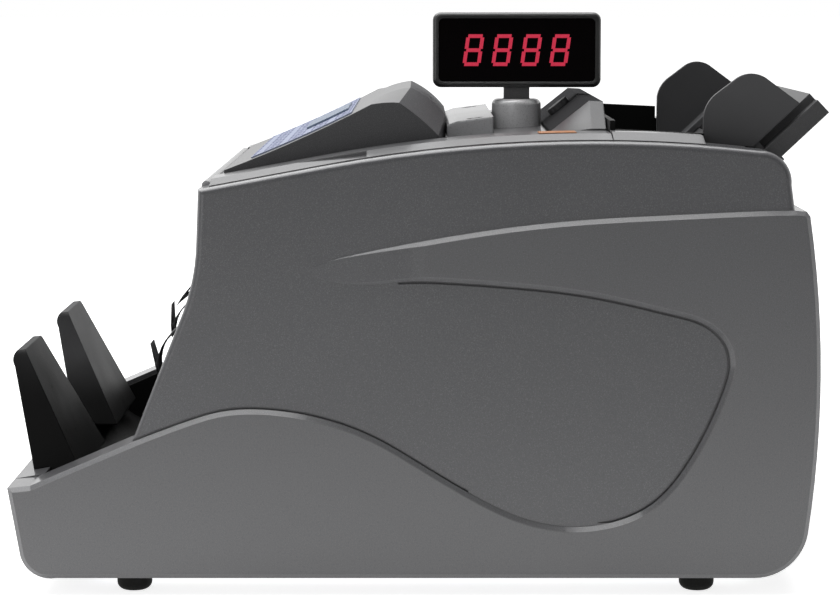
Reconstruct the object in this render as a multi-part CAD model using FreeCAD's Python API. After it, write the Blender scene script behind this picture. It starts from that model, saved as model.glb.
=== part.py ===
import FreeCAD
import Part
import math
import os

# Banknote counting machine, millimetres. +Z up, the front faces -Y, +X is the operator's right.
# The origin is the middle of the footprint on the table.

Vec = FreeCAD.Vector
os.makedirs("parts", exist_ok=True)

# Housing, across the machine
half_width = 125.0        # centre plane to the raised band of a side panel
band_height = 2.0         # how far the raised band stands out of the side panel
seam_inset = 20.0         # from the band in to the joint between side panels and middle covers
wall = 2.8                # moulded wall
fit = 0.3                 # gap between neighbouring mouldings
edge_round = 2.4          # rounding along the rim of a side panel
band_slope = 1.7          # width of the sloped edge of the raised band
band_root = 0.8           # how deep the band is rooted in the skin
crease_tolerance = 0.1
groove_width = 0.9        # parting line below the leaf
groove_depth = 1.2
groove_end_y = 20.0
leaf_groove_y = (-6.0, 60.0, 125.0)   # start, turn down and end of the groove round the leaf
leaf_groove_z = (27.5, 90.0)
leaf_groove_top = 125.0
boss_places = [(-60.0, 40.0), (60.0, 34.0), (118.0, 60.0), (112.0, 120.0), (-50.0, 128.0), (30.0, 146.0)]
boss_r = 5.0
screw_r = 1.7

# Side outline, (y, z)
foot_height = 6.5
toe = (-134.5, foot_height)
toe_via = (-143.8, 8.9)
nose_low = (-147.7, 15.0)
nose_lip = (-152.1, 40.8)
nose_back = (-143.5, 41.7)
pillar_foot = (-105.5, 58.0)
pillar_knee = (-85.8, 107.0)
pillar_via = (-82.2, 119.8)
pillar_neck = (-80.8, 133.0)
rim_front = (-79.9, 152.3)
rim_joint = (-31.8, 161.2)
rim_top = (45.0, 169.6)
rim_rear = (127.0, 166.6)
shoulder_via = (135.4, 163.3)
shoulder_low = (139.1, 153.8)
ledge = (140.4, 144.6)
ledge_edge = (144.4, 144.3)
rear_top = (145.8, 142.4)
rear_via = (150.8, 80.0)
rear_low = (147.1, 23.4)
heel_via = (141.5, 12.4)
heel = (127.4, foot_height)

# Edge of the raised band: upper crease and lower crease, (y, z)
crease_points = [ledge, (104.9, 143.4), (66.6, 141.4), (38.8, 138.9), (13.4, 135.2), (-9.0, 131.0), (-27.0, 127.0)]
horn_tip = (-39.0, 122.0)
leaf_points = [
    (-27.0, 117.8), (-3.2, 118.4), (16.7, 117.8), (38.1, 116.2), (68.4, 112.5), (95.8, 106.1), (111.6, 99.6),
    (116.9, 90.0), (114.7, 77.0), (102.4, 51.0), (87.0, 33.4), (66.0, 26.4), (46.8, 27.4), (24.4, 36.6), (2.0, 49.9),
    (-16.6, 60.6), (-35.1, 67.2), (-52.9, 70.2), (-72.2, 69.6), (-88.0, 64.8),
]
horn_fade = (-40.0, 6.0)  # the horn sinks into the panel between these y
horn_low_z = 100.0
horn_high_z = 145.0

# Top
bead_rise = 1.9            # rounded bead along the front edge of the deck
bead_width = 3.4
deck_edge_inset = 37.0    # from the band in to the inner edge of the shoulder trims
trim_inset = 7.0          # from the band in to the outer edge of the trims
trim_height = 2.3
trim_slope = 9.0          # width of the sloped outer edge of a trim
trim_lip_height = 0.4
trim_step_y = (-44.0, -17.8)   # wedge-shaped step in the sloped edge
rail_height = 3.0
trim_front_y = -76.0
hopper_front_y = 73.2
rail_rear_y = 107.5
rail_tail_y = 124.0        # the flush strip behind a rail
bed_half_x = 60.0
bed_front_y = 12.6
bed_rear_y = 30.8
bed_rise = 7.6
ramp_half_x = 70.0
ramp_foot_y = 52.7
ramp_top = (67.5, 182.9)
ramp_rear = (72.9, 182.6)
ramp_foot_z = 171.1
cheek_foot_z = 172.4

# Console
console_margin = 3.0      # between the console and the shoulder trims
console_front_y = -73.0
console_front_z = 156.9
console_knee = (-44.0, 168.8)
console_peak = (-16.7, 182.0)
console_top_via = (-11.5, 182.7)
console_crest = (-6.0, 182.7)
console_back_via = (1.9, 176.8)
console_rear = (9.1, 170.1)
console_mid_x = 42.0       # half width of the higher, deeper middle
console_mid_top_via = (-9.0, 185.5)
console_mid_crest = (-1.8, 187.0)
console_mid_back_via = (5.9, 182.4)
console_mid_rear_z = 176.0
console_roof = 1.3         # height of the console's roof as a share of the wall
membrane_thick = 0.6
film_gap = 0.05           # glue under thin films
membrane_half_x = 74.0
membrane_from = 0.17      # share of the slope where the membrane starts and ends
membrane_to = 0.86
window_half_x = 30.0
window_from = 0.52
window_to = 0.82
window_rise = 0.8
marker_y = (46.4, 60.5)
marker_inset = 6.0        # from the trim's inner edge
marker_width = 13.0

# Stacker
lining_thick = 2.0
apron_lip = 12.0          # how far the apron turns under the machine
apron_rib_x = (-70.0, -35.0, 0.0, 35.0, 70.0)
apron_rib_height = 20.0
lining_top = (-74.0, 112.0)
lining_knee = (-94.0, 58.0)
floor_via = (-103.5, 35.0)
floor_low = (-118.0, 27.5)
floor_front_via = (-131.0, 31.0)
lining_front = (-138.4, 41.0)
mouth_top_z = 117.0

# Stop fins, (y, z) of the side outline and half widths at foot and top
fin_front_low = (-146.6, 40.0)
fin_front_high = (-155.3, 80.5)
fin_round = (-155.9, 84.2)
fin_shoulder = (-154.6, 86.4)
fin_rear_high = (-151.4, 86.8)
fin_rear_low = (-128.5, 40.0)
fin_inner_foot = 20.0
fin_outer_foot = 92.0
fin_inner_top = 38.0
fin_outer_top = 79.0
fin_hollow = 2.2
fin_corner = 4.0
fin_mask_y = (-170.0, -110.0)

# Stacker wheels
wheel_y = -70.0
wheel_z = 76.5
wheel_r = 38.0
wheel_x = 30.0
wheel_half = 7.0
hub_r = 12.0
vane_count = 7
vane_bulge_r = 34.7       # where the blade is thickest
vane_bulge_deg = 24.0     # from the tip back to there
vane_sweep_deg = 94.0     # from the tip back to the root
vane_thick = 2.2
vane_tip_thick = 0.3
right_tip_deg = 169.8     # where one tip of each wheel stands
left_tip_deg = 156.1
slot_margin = 2.0

# Hopper back plate: foot of the slope, slope angle and layers measured behind the slope
slope_y = 109.0
slope_z = 167.0
slope_deg = 43.4
plate_skin_t = 14.0
plate_tray_t = 17.0
plate_back_t = 23.4
plate_low_s = -10.4
plate_high_s = 43.0
plate_rim = 6.7           # how far the tray stands out beside its skin
liner_inset = 26.0        # from the band in to the outside of the hopper liner
liner_floor_z = 149.0
liner_left_rise = 5.4      # how far the left wall stands above the shoulder
rib_count = 9
rib_thick = 1.8
slot_s = 14.0
slot_width = 5.0

# Note guides
guide_inset = 1.0         # from the skin of the back plate out to a note guide
guide_thick = 3.2
guide_travel = 40.0
guide_foot_x = 14.0
guide_gap = 0.3
guide_front = (109.3, 178.0)
guide_bottom = (109.3, 160.0)
guide_brow_via = (111.0, 182.9)
guide_brow = (114.8, 187.0)
guide_shoulder = (121.0, 191.7)
guide_peak_via = (127.0, 194.0)
guide_peak = (133.6, 191.7)
guide_top_s = 37.5
guide_low_s = -5.0

# Display
swivel_y = 42.0
swivel_r = 10.2
collar_width = 2.0
tilt_z = 176.2
neck_half_y = 5.3
pin_half_y = 8.4
pocket_half_x = 5.3        # half depth of the pocket round the neck
block_top_z = 181.0
case_y = 41.9
case_half_y = 34.7
case_low_z = 185.8
case_height = 30.8
case_front_x = 8.0
case_back_x = -7.5
case_corner = 3.5
case_round = 1.6
window_margin = 2.4
window_thick = 1.6
digit_height = 13.0
digit_width = 7.4
digit_stroke = 1.5
digit_pitch = 11.9
digit_slant_deg = 8.0
digit_rise = 8.8          # from the case's lower edge to the foot of the digits
digit_depth = 0.4
digit_first = 15.9        # from the case's end to the middle of the first digit
knuckle_r = 4.8
pin_r = 1.5

# Drive
frame_inset = 29.0        # from the band in to a side frame
frame_thick = 1.5
frame_front_y = -84.0
frame_rear_y = 130.0
frame_step_z = 146.4      # top of the frames under the hopper
shaft_r = 4.0
running = 0.05
bearing_r = 8.0
bearing_flange = 1.2
feed_y = 72.0
feed_z = 132.0
feed_r = 18.0
pickup_y = 98.0
pickup_z = 136.0
pickup_r = 14.0
transport_y = 20.0
transport_z = 118.0
transport_r = 12.0
motor_y = 60.0
motor_z = 62.0
motor_r = 24.0
motor_length = 62.0
motor_pulley_r = 9.0
feed_pulley_r = 18.0
link_pulley_r = 12.0
pickup_pulley_r = 12.0
impeller_pulley_r = 8.5
motor_shaft_r = 2.5
feed_x = (-22.0, 22.0)
pickup_x = (-40.0, 40.0)
feed_width = 14.0
feed_core_r = 10.0
pickup_width = 16.0
roller_core_r = 7.0
transport_width = 12.0
roller_gap = 1.2          # between a roller and what it passes through
transport_x = (-50.0, 0.0, 50.0)
tie_places = [(-70.0, 24.0), (90.0, 30.0), (118.0, 100.0), (-40.0, 132.0)]
belt_thick = 1.6
pulley_rim = 1.0
belt_width = 4.4
transformer_corner = (22.0, -20.0)
transformer_size = 46.0
transformer_depth = 40.0
transformer_leg = 10.0
board_x = (-60.0, 10.0)
board_y = (-60.0, 20.0)
board_rise = 8.0
board_thick = 1.6
layer_pitch = 5.4
layer_gap = 2.7           # from a side frame to the first belt layer

# Base and feet
pan_thick = 2.4
pan_flange = 12.0
pan_flange_inset = 20.0
pan_slot_count = 6
pan_slot = (10.0, 40.0)   # across, along
pan_slot_pitch = 18.0
pan_bead_y = (-70.0, 45.0, 85.0)
pan_bead = (160.0, 5.0, 1.6)
foot_r = 6.6
foot_inset = 13.0
foot_round = 3.0
front_foot_y = -106.2
rear_foot_y = 106.8

# Rear panel
recess_y = 146.4
recess_x = (16.0, 92.0)
recess_z = (27.0, 62.0)
vent_count = 9
vent_height = 3.2
vent_pitch = 6.6
vent_x = (-84.0, -24.0)
inlet_x = 70.0
inlet_half = (13.5, 10.0)  # half width and half height behind the flange
inlet_wall = 1.7
inlet_depth = 20.0
inlet_pins = ((-7.0, -1.5), (0.0, 2.0), (7.0, -1.5))
seat_gap = 0.1            # round what is pushed into the rear panel
socket_z = 44.0
switch_x = 42.0
fuse_x = 24.0
fuse_r = 5.0
fuse_rise = 6.0
jack_r = 4.0
jack_drop = 9.0
rocker_deg = 8.0
rocker_depth = 2.5
rocker_pin_r = 1.2
switch_half = (6.5, 9.5)  # half width and half height of the sleeve
bezel = 1.5
vent_low_z = 30.0
grip_z = 120.0
grip_y = 126.0
grip_half = (46.0, 9.0)   # half width and half height of the hand grip
knob_r = 5.0
knob_height = 2.4

# Places across the machine that follow from its width
seam_x = half_width - seam_inset
cover_x = seam_x - fit
trim_outer_x = half_width - trim_inset
deck_edge_x = half_width - deck_edge_inset
console_half_x = deck_edge_x - console_margin
liner_half_x = half_width - liner_inset
plate_half_x = liner_half_x - lining_thick - fit
plate_skin_half_x = plate_half_x - plate_rim
guide_x = plate_skin_half_x + guide_inset
frame_x = half_width - frame_inset
layer_start = frame_x + frame_thick + layer_gap
foot_x = half_width - foot_inset
case_high_z = case_low_z + case_height


def point(pair, x=0.0):
    return Vec(x, pair[0], pair[1])


def path(start, *steps):
    """Edges in the y-z plane; a step is an end point or a (via, end) pair for an arc."""
    edges = []
    here = start
    for step in steps:
        if isinstance(step[0], tuple):
            via, end = step
            edges.append(Part.Arc(point(here), point(via), point(end)).toShape())
        else:
            end = step
            edges.append(Part.makeLine(point(here), point(end)))
        here = end
    return edges


def outline(start, *steps):
    """Closed wire: the path with a straight line back to its start where it is open."""
    end = steps[-1][1] if isinstance(steps[-1][0], tuple) else steps[-1]
    closing = [start] if math.dist(end, start) > 1e-6 else []
    return Part.Wire(path(start, *steps, *closing))


def slab(wire, x0, x1):
    face = Part.Face(wire)
    face.translate(Vec(x0, 0, 0))
    return face.extrude(Vec(x1 - x0, 0, 0))


def box(x0, x1, y0, y1, z0, z1):
    return Part.makeBox(x1 - x0, y1 - y0, z1 - z0, Vec(x0, y0, z0))


def rod(y, z, r, x0, x1):
    return Part.makeCylinder(r, x1 - x0, Vec(x0, y, z), Vec(1, 0, 0))


def post(x, y, r, z0, z1):
    return Part.makeCylinder(r, z1 - z0, Vec(x, y, z0), Vec(0, 0, 1))


def mirrored(shape):
    return shape.mirror(Vec(0, 0, 0), Vec(1, 0, 0))


def fused(shapes):
    first, rest = shapes[0], list(shapes[1:])
    return first.multiFuse(rest).removeSplitter() if rest else first


def flat_edges(shape, x, y_range=(-999, 999), z_range=(-999, 999)):
    """Edges that lie in the plane at x and have their centre inside the ranges."""
    chosen = []
    for edge in shape.Edges:
        bounds = edge.BoundBox
        centre = edge.CenterOfMass
        level = abs(bounds.XMin - x) < 1e-4 and abs(bounds.XMax - x) < 1e-4
        if level and y_range[0] < centre.y < y_range[1] and z_range[0] < centre.z < z_range[1]:
            chosen.append(edge)
    return chosen


def save(name, shape):
    shape.exportStep("parts/" + name + ".step")
    print(name, len(shape.Solids), round(shape.Volume), shape.isValid())


# ---- lines that several pieces share -------------------------------------------------------

rim_circle = Part.Arc(point(rim_joint), point(rim_top), point(rim_rear)).toShape().Curve
rim_centre = rim_circle.Center
rim_radius = rim_circle.Radius


def rim_z(y):
    if y < rim_joint[0]:
        share = (y - rim_front[0]) / (rim_joint[0] - rim_front[0])
        return rim_front[1] + share * (rim_joint[1] - rim_front[1])
    return rim_centre.z + math.sqrt(rim_radius ** 2 - (y - rim_centre.y) ** 2)


def rim_point(y, rise):
    return (y, rim_z(y) + rise)


def rim_strip(y0, y1, low, high):
    """Outline of a strip that follows the rim from y0 to y1, between two rises."""
    def run(a, b, rise):
        middle = (a + b) / 2
        return (rim_point(middle, rise), rim_point(b, rise))

    steps = []
    joint = rim_joint[0]
    if y0 < joint < y1:
        steps = [rim_point(joint, high), run(joint, y1, high), rim_point(y1, low),
                 run(y1, joint, low), rim_point(y0, low)]
    elif y1 <= joint:
        steps = [rim_point(y1, high), rim_point(y1, low), rim_point(y0, low)]
    else:
        steps = [run(y0, y1, high), rim_point(y1, low), run(y1, y0, low)]
    return outline(rim_point(y0, high), *steps)


def side_outline():
    return outline(
        toe, (toe_via, nose_low), nose_lip, nose_back, pillar_foot, pillar_knee,
        (pillar_via, pillar_neck), rim_front, rim_joint, (rim_top, rim_rear),
        (shoulder_via, shoulder_low), ledge, ledge_edge, rear_top, (rear_via, rear_low),
        (heel_via, heel))


def crease_edges():
    """Smooth crease from the ledge round the horn and along the leaf to the pillar's foot, as arcs."""
    points = [point(p) for p in crease_points + [horn_tip] + leaf_points + [pillar_foot]]
    curve = Part.BSplineCurve()
    curve.interpolate(Points=points, InitialTangent=Vec(0, -1, 0),
                      FinalTangent=point(nose_back) - point(pillar_foot))
    return [arc.toShape() for arc in curve.toBiArcs(crease_tolerance)]


def band_outline():
    edges = path(
        pillar_foot, nose_back, nose_lip, nose_low, (toe_via, toe), heel,
        (heel_via, rear_low), (rear_via, rear_top), ledge_edge, ledge)
    return Part.Wire(edges + crease_edges())


slope = math.radians(slope_deg)


def on_slope(s, t):
    """(y, z) at distance s up the hopper slope and t behind it."""
    return (slope_y + s * math.cos(slope) + t * math.sin(slope),
            slope_z + s * math.sin(slope) - t * math.cos(slope))


def slope_slab(s0, s1, t0, t1, x0, x1):
    corners = [on_slope(s0, t0), on_slope(s1, t0), on_slope(s1, t1), on_slope(s0, t1)]
    return slab(outline(*corners), x0, x1)


# ---- housing ---------------------------------------------------------------------------------

def raised_band(skin_x):
    """C-shaped band round the leaf with a sloped edge; its horn sinks into the skin."""
    band = slab(band_outline(), skin_x - band_root, half_width)
    band = band.makeChamfer(band_slope, flat_edges(band, half_width))
    low, high = skin_x - 0.1, half_width + 0.1
    fade = Part.Face(Part.makePolygon([
        Vec(low, horn_fade[0], 0), Vec(high + band_height, horn_fade[0], 0),
        Vec(high + band_height, horn_fade[1], 0), Vec(high, horn_fade[1], 0), Vec(low, horn_fade[0], 0)]))
    horn = fade.extrude(Vec(0, 0, horn_high_z - horn_low_z))
    horn.translate(Vec(0, 0, horn_low_z))
    return band.cut(horn)


def leaf_groove(skin_x):
    """Dark parting line in the skin along the upper and rear border of the leaf."""
    band = Part.Face(band_outline())
    ring = band.makeOffset2D(groove_width).cut(band).extrude(Vec(groove_depth + fit, 0, 0))
    ring.translate(Vec(skin_x - groove_depth, 0, 0))
    front_y, turn_y, rear_y = leaf_groove_y
    upper = box(skin_x - wall, half_width, front_y, turn_y, leaf_groove_z[1], leaf_groove_top)
    rear = box(skin_x - wall, half_width, turn_y, rear_y, leaf_groove_z[0], leaf_groove_top)
    return ring.common(upper.fuse(rear))


def side_panel():
    skin_x = half_width - band_height
    body = slab(side_outline(), seam_x, skin_x)
    rim = flat_edges(body, skin_x, (pillar_foot[0], ledge[0]), (pillar_foot[1], rim_top[1] + wall))
    body = body.makeFillet(edge_round, rim)
    inner = Part.Face(side_outline()).makeOffset2D(-wall)
    inner.translate(Vec(seam_x - 1, 0, 0))
    body = body.cut(inner.extrude(Vec(skin_x - wall - seam_x + 1, 0, 0)))
    band = raised_band(skin_x)
    body = body.fuse(band)
    seam_edge = Part.Wire(crease_edges()).extrude(Vec(0, 0, groove_width)).common(
        box(-1, 1, nose_lip[0], groove_end_y, 0, pillar_neck[1] - 40))
    groove = seam_edge.extrude(Vec(groove_depth + band_height, 0, 0))
    groove.translate(Vec(skin_x - groove_depth, 0, 0))
    body = body.cut(groove).cut(leaf_groove(skin_x))
    bosses = [rod(y, z, boss_r, frame_x + frame_thick, skin_x - wall + 0.5) for y, z in boss_places]
    holes = [rod(y, z, screw_r, frame_x, skin_x - wall - 4) for y, z in boss_places]
    return fused([body] + bosses).cut(Part.makeCompound(holes))


def nose_apron():
    """Front wall under the stacker with its rim, between the side panels."""
    x = cover_x
    rim_back = (lining_front[0] - lining_thick - fit, nose_back[1] + 1.0)
    outer = outline(
        toe, (toe_via, nose_low), nose_lip, rim_back, (rim_back[0], rim_back[1] - 6),
        (nose_lip[0] + 4, nose_lip[1] - 7),
        (nose_low[0] + wall, nose_low[1] + 1), (toe[0] - 2, toe[1] + wall),
        (toe[0] + apron_lip, toe[1] + wall), (toe[0] + apron_lip, toe[1]))
    body = slab(outer, -x, x)
    ribs = [box(cx - rib_thick / 2, cx + rib_thick / 2, nose_low[0] + 1, toe[0] + apron_lip / 3, toe[1] + 1,
                toe[1] + apron_rib_height)
            for cx in apron_rib_x]
    behind = slab(outline(
        toe, (toe_via, nose_low), nose_lip, (toe[0] + apron_lip, nose_lip[1]), (toe[0] + apron_lip, toe[1])), -x, x)
    return fused([body] + [rib.common(behind) for rib in ribs])


def base_pan():
    """Steel bottom plate with turned-up edges, vent slots and stiffening beads."""
    x = cover_x
    y0 = toe[0] + apron_lip + fit
    y1 = heel[0] - fit
    top = foot_height + pan_thick
    plate = box(-x, x, y0, y1, foot_height, top)
    flange = box(x - pan_thick, x, y0 + pan_flange_inset, y1, foot_height, foot_height + pan_flange)
    first = -pan_slot_pitch * (pan_slot_count - 1) / 2
    slots = []
    for i in range(pan_slot_count):
        centre = first + i * pan_slot_pitch
        slots.append(box(centre - pan_slot[0] / 2, centre + pan_slot[0] / 2, -pan_slot[1] / 2, pan_slot[1] / 2,
                         foot_height - 1, top + 1))
    beads = [box(-pan_bead[0] / 2, pan_bead[0] / 2, y, y + pan_bead[1], top, top + pan_bead[2])
             for y in pan_bead_y]
    return fused([plate, flange, mirrored(flange)] + beads).cut(Part.makeCompound(slots))


def wheel_slots():
    half = wheel_half + slot_margin
    return [rod(wheel_y, wheel_z, wheel_r + slot_margin, s * wheel_x - half, s * wheel_x + half) for s in (-1, 1)]


def stacker_lining():
    """Black floor and back of the stacker with cheeks and slots for the wheels."""
    t = lining_thick
    sheet = outline(
        lining_top, lining_knee, (floor_via, floor_low), (floor_front_via, lining_front),
        (lining_front[0] - t, lining_front[1]),
        ((floor_front_via[0] - 0.66 * t, floor_front_via[1] - 0.75 * t), (floor_low[0], floor_low[1] - t)),
        ((floor_via[0] + 0.77 * t, floor_via[1] - 0.64 * t), (lining_knee[0] + t, lining_knee[1] - 0.2 * t)),
        (lining_top[0] + t, lining_top[1]))
    floor = slab(sheet, -cover_x, cover_x)
    cheek = outline(
        lining_top, lining_knee, (floor_via, floor_low), (floor_front_via, lining_front),
        (lining_front[0] + 1, nose_back[1] + 0.4), (pillar_foot[0] + 1.5, pillar_foot[1] - 1.2),
        (pillar_knee[0] + 1.5, lining_top[1]))
    cheeks = [slab(cheek, cover_x - t, cover_x), slab(cheek, -cover_x, t - cover_x)]
    body = fused([floor] + cheeks)
    return body.cut(Part.makeCompound(wheel_slots()))


def front_panel():
    """Inset panel between the pillars, from the stacker mouth up to the top cover."""
    x = cover_x
    inset = 2.0
    t = 2.4
    top_z = rim_z(rim_front[0]) - wall - 0.2
    wire = outline(
        (pillar_knee[0] + inset + 0.6, mouth_top_z),
        ((pillar_via[0] + inset, pillar_via[1]), (pillar_neck[0] + inset, pillar_neck[1])),
        (rim_front[0] + inset, top_z), (rim_front[0] + inset + t, top_z),
        (pillar_neck[0] + inset + t, pillar_neck[1]),
        ((pillar_via[0] + inset + t, pillar_via[1]), (pillar_knee[0] + inset + 0.6 + t, mouth_top_z)))
    body = slab(wire, -x, x)
    lip = box(-x, x, pillar_knee[0] + inset + 1.5, pillar_knee[0] + inset + 8, mouth_top_z, mouth_top_z + t)
    return body.fuse(lip).removeSplitter()


def top_cover():
    """Deck between the side panels with the raised bed in front of the display."""
    x = cover_x
    deck = slab(rim_strip(rim_front[0], hopper_front_y - fit, -wall, 0), -x, x)
    opening = slab(rim_strip(console_front_y + 10, console_rear[0] - 8, -wall - 1, 1), -70, 70)
    deck = deck.cut(opening)
    z = rim_z(bed_front_y)
    bed = slab(outline(
        (bed_front_y, z - 1), (bed_front_y, z + bed_rise - 2), (bed_front_y + 4, z + bed_rise - 0.6),
        (bed_rear_y, z + bed_rise + 1.2), (bed_rear_y, z - 1)), -bed_half_x, bed_half_x)
    hollow = slab(outline(
        (bed_front_y + wall, z - 6), (bed_front_y + wall, z + bed_rise - 3.6),
        (bed_rear_y - wall, z + bed_rise - 2.2), (bed_rear_y - wall, z - 6)),
        -bed_half_x + wall, bed_half_x - wall)
    seat = post(0, swivel_y, swivel_r + running, rim_z(swivel_y) - 2 * wall, rim_z(swivel_y) + wall)
    recess = post(bed_half_x - 9, bed_front_y + 11, 3.2, z + 4, z + 20)
    far_recess = post(9 - bed_half_x, bed_front_y + 11, 3.2, z + 4, z + 20)
    bead_top = (rim_front[0] + bead_width / 3, rim_z(rim_front[0]) + bead_rise)
    bead_end = (rim_front[0] + bead_width, rim_z(rim_front[0]))
    bead = slab(outline(
        (rim_front[0], bead_end[1] - wall / 2), (rim_front[0], bead_end[1] + bead_rise / 3), (bead_top, bead_end),
        (bead_end[0], bead_end[1] - wall / 2)), -x, x)
    return fused([deck, bed, bead]).cut(Part.makeCompound([hollow, seat, recess, far_recess]))


def shoulder_trim(y0, y1, rise, inner_x):
    """Strip along the shoulder whose outer edge slopes down to a thin lip."""
    body = slab(rim_strip(y0, y1, 0, rise), inner_x, trim_outer_x)
    top = [e for e in flat_edges(body, trim_outer_x)
           if e.Length > 10 and e.CenterOfMass.z > rim_z(e.CenterOfMass.y) + rise / 2]
    return body.makeChamfer(trim_slope, rise - trim_lip_height, top)


def stepped_trim():
    """Shoulder trim with the wedge-shaped step in its sloped edge."""
    body = shoulder_trim(trim_front_y, hopper_front_y, trim_height, deck_edge_x)
    start, end = trim_step_y
    wedge = slab(outline(
        rim_point(start, trim_height), rim_point(end, trim_lip_height), rim_point(end, trim_height + wall),
        rim_point(start, trim_height + wall)), trim_outer_x - trim_slope, trim_outer_x + fit)
    return body.cut(wedge)


def hopper_rail():
    """Rail beside the hopper, with a flush strip that closes the shoulder behind it."""
    body = shoulder_trim(hopper_front_y + fit, rail_rear_y, rail_height, liner_half_x + fit)
    tail = slab(rim_strip(rail_rear_y - 1, rail_tail_y, -wall, 0), liner_half_x + fit, cover_x)
    return body.fuse(tail).removeSplitter()


def console_section(x, front_via, crest, back_via, rear, base_z):
    """Section of the console at x, from its front edge over the slope and the crest to the rear."""
    wire = outline(
        (console_front_y, base_z), (console_front_y, console_front_z), (console_knee, console_peak),
        (front_via, crest), (back_via, rear), (rear[0], base_z))
    return wire.translated(Vec(x, 0, 0))


def console_housing():
    """Operator console: flat keypad slope, and a crest that is higher and deeper in the middle."""
    base_z = rim_z(console_front_y) - 8
    mid_rear = (bed_front_y - fit, console_mid_rear_z)
    wires = []
    for x in (-console_half_x, -console_mid_x, console_mid_x, console_half_x):
        if abs(x) == console_mid_x:
            wires.append(console_section(
                x, console_mid_top_via, console_mid_crest, console_mid_back_via, mid_rear, base_z))
        else:
            wires.append(console_section(
                x, console_top_via, console_crest, console_back_via, console_rear, base_z))
    body = Part.makeLoft(wires, True, True)
    hollow = body.translated(Vec(0, 0, -console_roof * wall)).common(
        box(wall - console_half_x, console_half_x - wall, console_front_y + wall, console_rear[0] - wall,
            base_z - 2 * wall, console_mid_crest[1]))
    roof_z = console_mid_crest[1] + wall
    keep = slab(outline(
        rim_point(console_front_y, 0), rim_point(rim_joint[0], 0),
        (rim_point(-11.0, 0), rim_point(bed_front_y, 0)),
        (bed_front_y, roof_z), (console_front_y, roof_z)), -console_half_x, console_half_x)
    return body.common(keep).cut(hollow)


def console_surface_strip(share0, share1, half_x, low, high):
    """Thin strip on the console's hollow slope, between two shares of its arc."""
    arc = Part.Arc(point((console_front_y, console_front_z)), point(console_knee), point(console_peak))
    curve = arc.toShape().Curve
    centre, radius = curve.Center, curve.Radius
    first = math.atan2(console_front_z - centre.z, console_front_y - centre.y)
    last = math.atan2(console_peak[1] - centre.z, console_peak[0] - centre.y)

    def at(share, rise):
        angle = first + share * (last - first)
        reach = radius - rise
        return (centre.y + reach * math.cos(angle), centre.z + reach * math.sin(angle))

    middle = (share0 + share1) / 2
    return slab(outline(
        at(share0, low), (at(middle, low), at(share1, low)), at(share1, high),
        (at(middle, high), at(share0, high))), -half_x, half_x)


def feed_cover():
    """Dark cover over the feed roller, with a sloped front and a seat for the gap knob."""
    z = rim_z(ramp_foot_y)
    body = slab(outline(
        (ramp_foot_y, z), (ramp_foot_y, ramp_foot_z), ramp_top, ramp_rear,
        (ramp_rear[0], rim_z(ramp_rear[0]))), -ramp_half_x, ramp_half_x)
    low = rim_strip(ramp_foot_y - 5, hopper_front_y + 5, -20, 0)
    body = body.cut(slab(low, -ramp_half_x - 1, ramp_half_x + 1))
    hollow = slab(outline(
        (ramp_foot_y + 5, z - 1), (ramp_foot_y + 5, ramp_foot_z), (ramp_top[0] - 1, ramp_top[1] - 4),
        (ramp_rear[0] - wall, ramp_rear[1] - 4), (ramp_rear[0] - wall, z - 1)),
        -ramp_half_x + wall, ramp_half_x - wall)
    return body.cut(hollow)


def hopper_cheek():
    """Light triangular shoulder beside the feed cover."""
    x0 = ramp_half_x + fit
    x1 = deck_edge_x - fit
    high = [(ramp_foot_y, ramp_foot_z), ramp_top, ramp_rear, (ramp_rear[0], cheek_foot_z)]
    low = [(ramp_foot_y, ramp_foot_z), (ramp_top[0], cheek_foot_z + 0.5), (ramp_rear[0], cheek_foot_z + 0.5),
           (ramp_rear[0], cheek_foot_z)]
    wires = []
    for x, corners in ((x0, high), (x1, low)):
        ring = [point(c, x) for c in corners]
        wires.append(Part.makePolygon(ring + [ring[0]]))
    wedge = Part.makeLoft(wires, True, True)
    foot = slab(rim_strip(ramp_foot_y, ramp_rear[0], 0, 6), x0, x1)
    foot = foot.common(slab(outline(
        (ramp_foot_y, 160), (ramp_foot_y, ramp_foot_z), (ramp_rear[0], cheek_foot_z), (ramp_rear[0], 160)),
        x0, x1))
    return wedge.fuse(foot).removeSplitter()


# ---- stacker ---------------------------------------------------------------------------------

def stop_fin():
    """Leaf-shaped paper stop: slab leaning forward, narrow at the top, hollow at the back."""
    side = outline(
        fin_front_low, fin_front_high, (fin_round, fin_shoulder), fin_rear_high, fin_rear_low)
    body = slab(side, fin_inner_foot - 5, fin_outer_foot + 5)
    foot_z, top_z = fin_front_low[1] - 1, fin_shoulder[1] + 1
    front = [Vec(fin_inner_foot, 0, foot_z), Vec(fin_outer_foot, 0, foot_z),
             Vec(fin_outer_top, 0, top_z), Vec(fin_inner_top, 0, top_z)]
    ahead = Vec(0, fin_mask_y[0], 0)
    run = Vec(0, fin_mask_y[1] - fin_mask_y[0], 0)
    mask = Part.Face(Part.makePolygon([v + ahead for v in front + [front[0]]]))
    mask = mask.extrude(run)
    corners = [e for e in mask.Edges if e.BoundBox.YLength > 50 and e.CenterOfMass.z > top_z - 1]
    mask = mask.makeFillet(fin_corner, corners)
    body = body.common(mask)
    hollow = outline(
        (fin_front_low[0] + fin_hollow, foot_z + 4), (fin_front_high[0] + fin_hollow, fin_front_high[1] - 3),
        (fin_rear_high[0] - 0.6, fin_rear_high[1] - 9), (fin_rear_low[0] - 2.6, foot_z + 4))
    inner = slab(hollow, fin_inner_foot + 12, fin_outer_foot - 12)
    slim = Part.Face(Part.makePolygon([v + ahead for v in (
        Vec(fin_inner_foot + 4, 0, foot_z), Vec(fin_outer_foot - 4, 0, foot_z),
        Vec(fin_outer_top - 4, 0, top_z), Vec(fin_inner_top + 4, 0, top_z), Vec(fin_inner_foot + 4, 0, foot_z))]))
    return body.cut(inner.common(slim.extrude(run)))


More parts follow.
